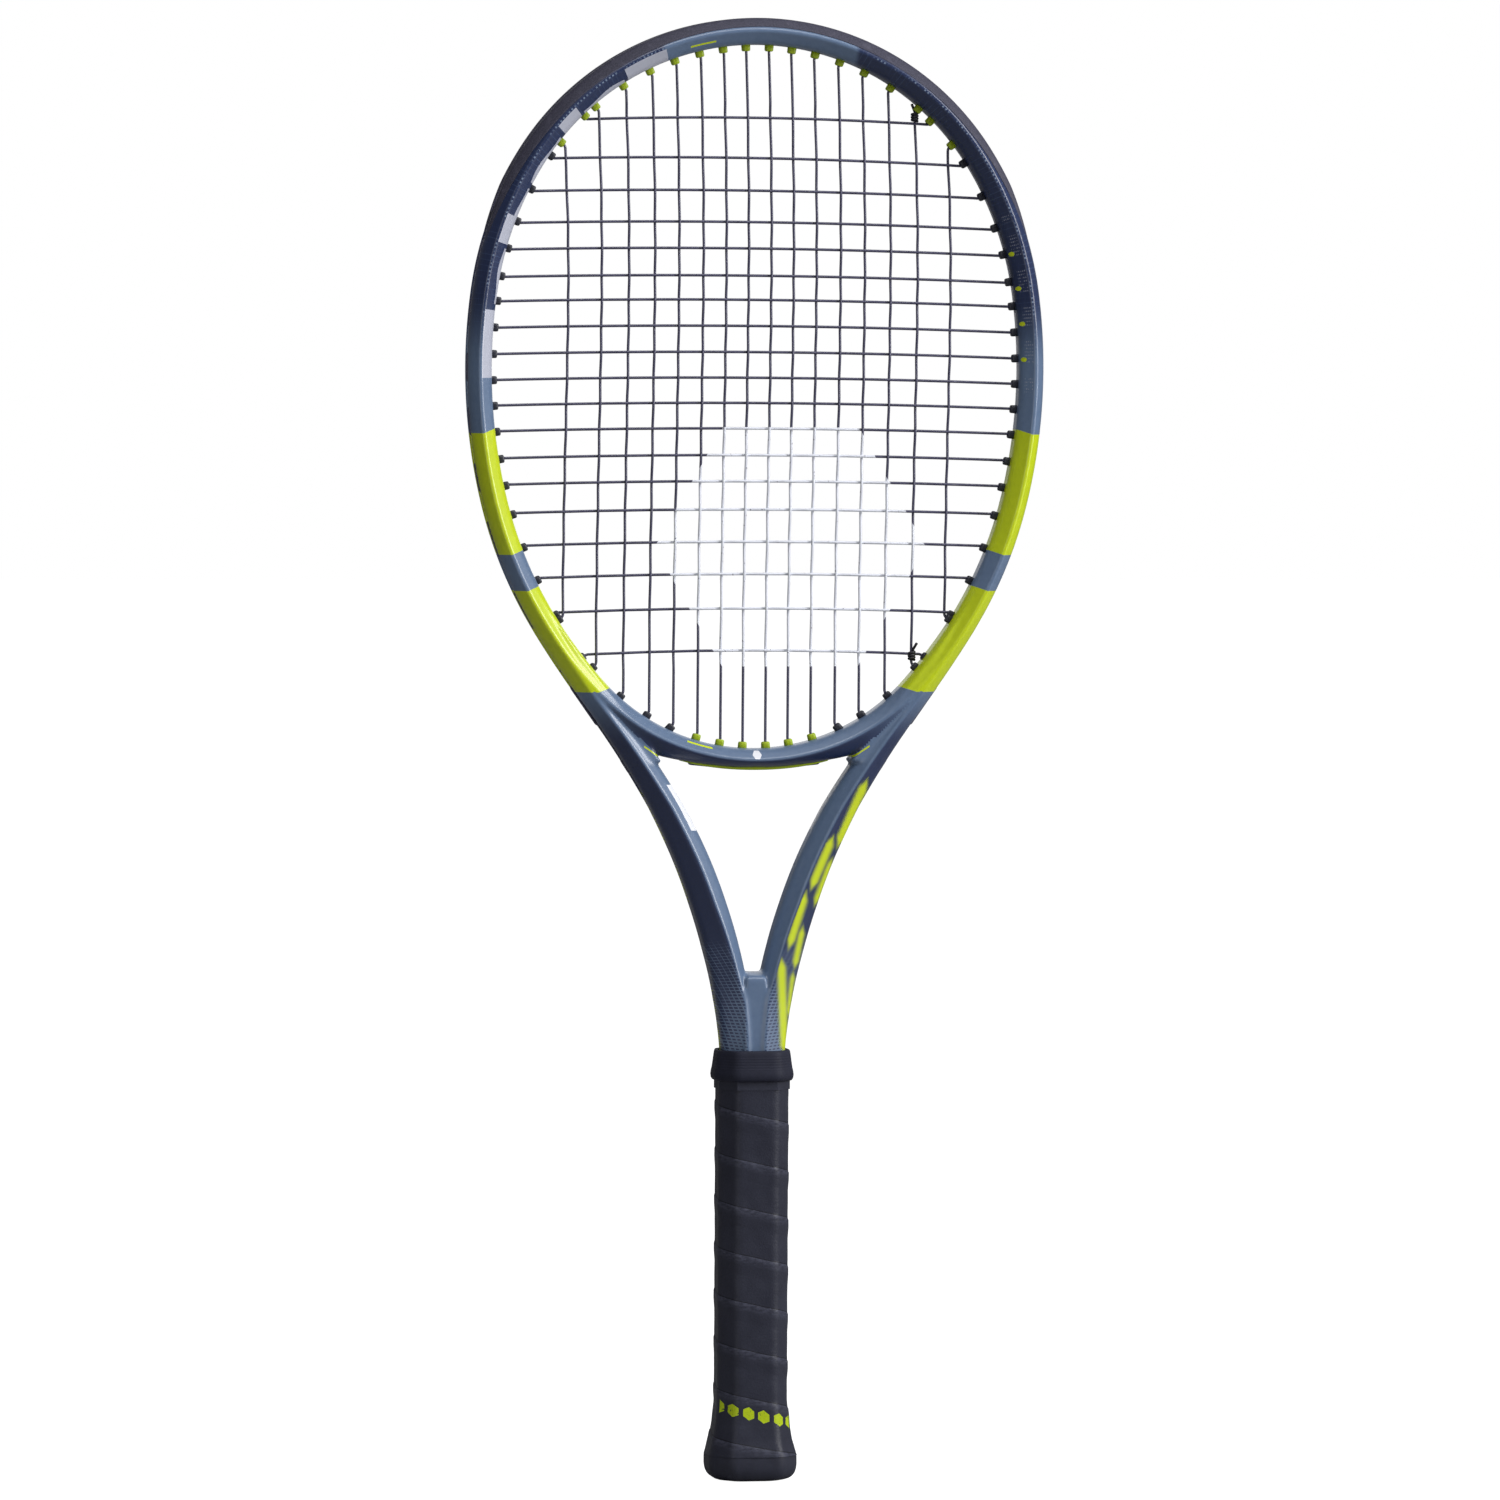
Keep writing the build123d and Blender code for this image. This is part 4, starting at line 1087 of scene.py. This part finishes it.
def cross_path():
    flat = rounded_path(string_route(cross_right, cross_left))
    offset, _ = along_chain(RING, np.abs(flat[:, 0]), flat[:, 1])
    path = []
    for (x, z), bed in zip(flat, offset < -TUBE_HALF - 2):
        number = int(np.argmin([abs(z - row) for row in CROSS_Z]))
        path.append((x, cross_depth(x, number), cross_height(number, x)) if bed else (x, CROSS_Y, z))
    return path


def string_paint(name):
    paint = Paint(name)
    wear = paint.noise(4.0, 3.0)
    fine = paint.noise(0.3)
    colour = paint.mix(wear, linear("34334a"), linear("4c4b66"))
    centre_x, centre_z, reach = STENCIL
    ink = hexagon(paint.x - centre_x, paint.z - centre_z, reach) * (paint.noise(1.2) > 0.3)
    colour = paint.mix(ink, colour, linear("dcdfea"))
    paint.bump(fine, 0.02)
    return paint.finish(colour, wear * 0.2 + 0.28, coat=0.3)


def knot_path(x, z, lean):
    """A string wound round the seventh main, then its cut tail."""
    wound = []
    for share in np.linspace(0, 1, 60):
        turn, height = share * KNOT_TURNS * tau, z + KNOT_HALF * (2 * share - 1)
        wound.append((x + KNOT_REACH * cos(turn), MAIN_Y + KNOT_REACH * sin(turn), height))
    last = np.array(wound[-1])
    tail = [last + np.array((lean * s, -1.6 * s, 3.2 * s)) for s in np.linspace(0.15, 1.2, 8)]
    return wound + tail


def make_strings():
    bed = string_paint("string")
    install(mesh_object("mains", *round_string(main_path())), bed, "string", "main_string")
    install(mesh_object("crosses", *round_string(cross_path())), bed, "string", "cross_string")
    dark = nylon("knot_string", linear("15151c"), linear("22222c"))
    knots = [round_string(knot_path(MAIN_X[6], height, lean)) for height, lean in KNOTS]
    install(mesh_object("knots", *joined(knots)), dark, "string", "tie_off_knots")


make_strings()


# ---------- handle
GRIP_WIDTH, GRIP_DEPTH = 33.3, 29.2
GRIP_FRONT, GRIP_SIDE = 19.0, 14.0
FACET_GROWTH = 0.6
CORNER_ROUNDING = 2.4
FLARE_Z = [12.0, 15.0, 19.5, 27.0, 38.0]
FLARE_WIDTH = [41.8, 40.2, 37.8, 35.4, 33.3]
CAP_PROFILE = [(12.3, 41.6), (11.6, 41.8), (9.5, 41.9), (7.5, 41.9), (5.8, 41.5), (4.2, 40.7), (2.9, 39.4)]
CAP_PROFILE += [(1.8, 37.6), (1.0, 35.2), (0.45, 32.0), (0.15, 28.5)]
CAP_FOOT = [(0.0, 0.0, 0.0), (0.0, 8.4, 1.0), (0.1, 7.3, 1.0), (0.5, 7.1, 1.0), (1.75, 7.1, 1.0)]
CAP_FOOT += [(1.75, 5.5, 1.0), (4.5, 5.5, 1.0), (5.0, 9.0, 1.0), (12.0, 12.0, 1.0)]
WRAP_LOW_Z, WRAP_TOP_Z = 12.0, 192.0
WRAP_THICK = 1.6
SEAM_PITCH = 22.2
SEAM_Z = 16.5
SEAM_STEP = 0.35
LAP = 4.2
PRINT_Z, PRINT_RADIUS, PRINT_HALF = 31.5, 16.6, 18.5
PRINT_PITCH, PRINT_REACH = 7.4, 2.7
COLLAR_PROFILE = [(188.3, 0.6), (188.0, 0.95), (188.2, 1.6), (189.2, 2.2), (190.8, 2.4), (192.4, 2.2)]
COLLAR_PROFILE += [(194.2, 1.75), (197.0, 1.35), (200.0, 0.95), (201.8, 0.65), (202.5, 0.2), (202.3, -0.3)]
COLLAR_BORE = [(200.5, -0.4), (196.0, 0.2), (193.5, 0.55), (190.0, 0.58)]


def grip_reach(turns, width):
    """Radius of the eight-sided grip at angles about its axis, for a width over the wrap."""
    grown = width - GRIP_WIDTH
    half_x, half_y = width / 2, (GRIP_DEPTH + grown) / 2
    front_x, side_y = (GRIP_FRONT + FACET_GROWTH * grown) / 2, (GRIP_SIDE + FACET_GROWTH * grown) / 2
    normal = np.arctan2(half_x - front_x, half_y - side_y)
    slant = front_x * cos(normal) + half_y * sin(normal)
    facets = [(0, half_x), (pi / 2, half_y), (pi, half_x), (-pi / 2, half_y)]
    facets += [(normal, slant), (pi - normal, slant), (pi + normal, slant), (-normal, slant)]
    reach = np.full(np.shape(turns), FAR)
    for bearing, gap in facets:
        lean = np.cos(turns - bearing)
        reach = smooth_min(reach, np.where(lean > 0.3, gap / np.maximum(lean, 0.3), FAR), CORNER_ROUNDING)
    return reach


def level_ring(reach, turns, z):
    return np.stack([reach * np.cos(turns), reach * np.sin(turns), np.full(turns.shape, z)], axis=1)


def grip_ring(z, out, turns, width=None):
    """A ring round the grip; out moves it off the wrap's plain surface."""
    if width is None:
        width = np.interp(z, FLARE_Z, FLARE_WIDTH)
    return level_ring(grip_reach(turns, width) + out, turns, z)


def seam_phase(turns, z):
    """Millimetres above the nearest seam below; seams fall towards +X on the front."""
    about = np.mod(turns + pi / 2 + pi, tau) - pi
    return np.mod(z - SEAM_Z + SEAM_PITCH * about / tau, SEAM_PITCH)


def wrap_out(turns, z):
    """Relief of the wound wrap: it steps out where each turn laps the one below."""
    phase = seam_phase(turns, z)
    below = SEAM_PITCH - phase
    rise = np.clip(below / 0.7, 0, 1) * np.clip(1 - (below - LAP) / 5.0, 0, 1)
    fade = np.clip((184 - z) / 5, 0, 1)
    ripple = 0.06 * np.sin(turns * 9 + z * 0.31) * np.sin(z * 0.17 + 2 * np.sin(turns))
    return (SEAM_STEP * rise + ripple) * fade


def make_wrap():
    count = 192
    turns = np.arange(count) * tau / count
    heights = np.arange(WRAP_LOW_Z, WRAP_TOP_Z + 0.01, 0.6)
    rings = [grip_ring(WRAP_LOW_Z, -WRAP_THICK, turns)]
    heights = np.insert(heights, 1, WRAP_LOW_Z + 0.05)
    rings += [grip_ring(z, wrap_out(turns, z), turns) for z in heights]
    rings += [grip_ring(z, -WRAP_THICK, turns) for z in np.linspace(WRAP_TOP_Z, WRAP_LOW_Z + 8, 12)]
    wrap = mesh_object("wrap", *skin(rings, closed=True))
    co = np.array([v.co for v in wrap.data.vertices]) / MM
    angle = np.arctan2(co[:, 1], co[:, 0])
    about = np.mod(angle + pi / 2 + pi, tau) - pi
    add_attribute(wrap, "about", about)
    install(wrap, wrap_paint(), "wrap", "grip_wrap")


def wrap_paint():
    paint = Paint("wrap")
    about = paint.attribute("about")
    phase = (paint.z - SEAM_Z + about * (SEAM_PITCH / tau)).do("FLOORED_MODULO", SEAM_PITCH)
    grain = paint.grain(0.9)
    cloud = paint.noise(14.0, 4.0)
    creases = paint.noise(3.0, 3.0, (1, 1, 2.5))
    colour = paint.mix(cloud, linear("22232f"), linear("343644"))
    # painted highlight: the raised edge just below each seam is lightened where it faces the light from
    # above, broken up by the crease noise
    seam_edge_highlight = phase.ramp(SEAM_PITCH - 5.0, SEAM_PITCH - 0.6) * creases.ramp(0.3, 0.7) * 0.35
    colour = paint.mix(seam_edge_highlight, colour, linear("5d5f72"))
    # painted shade: a thin dark line just above each seam, in the recess under the step where the turn
    # below ends
    gap = phase.ramp(0.7, 0.1)
    colour = paint.mix(gap * 0.85, colour, linear("0a0b12"))
    # a row of plain lime hexagons printed near the butt, following the wrap's slope
    run = about * PRINT_RADIUS
    tilt = paint.z - PRINT_Z + about * (SEAM_PITCH / tau)
    hexes = hexagon(tilt, run.cell(PRINT_PITCH), PRINT_REACH) * run.between(-PRINT_HALF, PRINT_HALF)
    print_wear = paint.noise(0.8) > 0.34
    colour = paint.mix(hexes * print_wear, colour, linear("b3c81a"))
    paint.bump(grain * -0.5 + creases * 0.8, 0.10)
    return paint.finish(colour, cloud * 0.18 + 0.42 - grain * 0.1, specular=0.25)


def make_collar():
    turns = np.arange(128) * tau / 128
    rings = [grip_ring(z, out, turns, GRIP_WIDTH) for z, out in COLLAR_PROFILE]
    rings += [grip_ring(z, out, turns, GRIP_WIDTH) for z, out in COLLAR_BORE]
    collar = mesh_object("collar_band", *skin(rings, closed=True))
    paint = Paint("collar_rubber")
    fine = paint.noise(0.4, 3.0)
    colour = paint.mix(paint.noise(5.0), linear("191b29"), linear("242637"))
    ribs = paint.z.wave(1.3)
    paint.bump(fine * 0.6 + ribs * 0.3 * paint.z.between(193.5, 200), 0.12)
    dress(collar, paint.finish(colour, fine * 0.2 + 0.55, specular=0.25))
    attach(collar, "collar")
    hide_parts("rubber_collar")


def make_cap(material):
    """The rounded butt end, with the trap door's seat in its middle."""
    turns = np.arange(160) * tau / 160
    rings = [grip_ring(z, -WRAP_THICK - 0.2, turns) for z in (14.0, 13.0)]
    rings += [grip_ring(z, 0, turns, width) for z, width in CAP_PROFILE]
    rim = grip_reach(turns, CAP_PROFILE[-1][1])
    for z, radius, round_share in CAP_FOOT:
        reach = radius * round_share + (rim - 3.0) * (1 - round_share)
        rings.append(level_ring(reach, turns, z))
    cap = mesh_object("cap", *skin(rings, closed=True))
    install(cap, material, "cap_plastic", "butt_cap")


def moulded(name, dark, light, size, roughness, depth=0.05, metallic=0.0, specular=0.5):
    paint = Paint(name)
    fine = paint.noise(size, 3.0)
    cloud = paint.noise(size * 16)
    paint.bump(fine, depth)
    colour = paint.mix(cloud, linear(dark), linear(light))
    return paint.finish(colour, fine * 0.22 + roughness, metallic=metallic, specular=specular)


def dress_frame_nodes():
    """The CAD nodes that stay in sight get their finishes here."""
    make_cap(moulded("cap_plastic", "22232f", "343644", 0.5, 0.45, specular=0.25))
    finishes = {
        "trap_door": moulded("door_plastic", "2f313d", "3d3f4c", 0.4, 0.38),
        "butt_staples": moulded("steel", "8f9298", "b9bcc2", 0.3, 0.25, 0.01, 1.0),
        "finishing_tape": moulded("tape", "22232f", "343644", 0.6, 0.45, specular=0.25),
        "pallet_front": moulded("foam", "6b6558", "8a8475", 0.8, 0.75, 0.15),
    }
    finishes["wrap_staple"] = finishes["butt_staples"]
    finishes["pallet_back"] = finishes["pallet_front"]
    for node, material in finishes.items():
        dress(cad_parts[node], material)


make_wrap()
make_collar()
dress_frame_nodes()
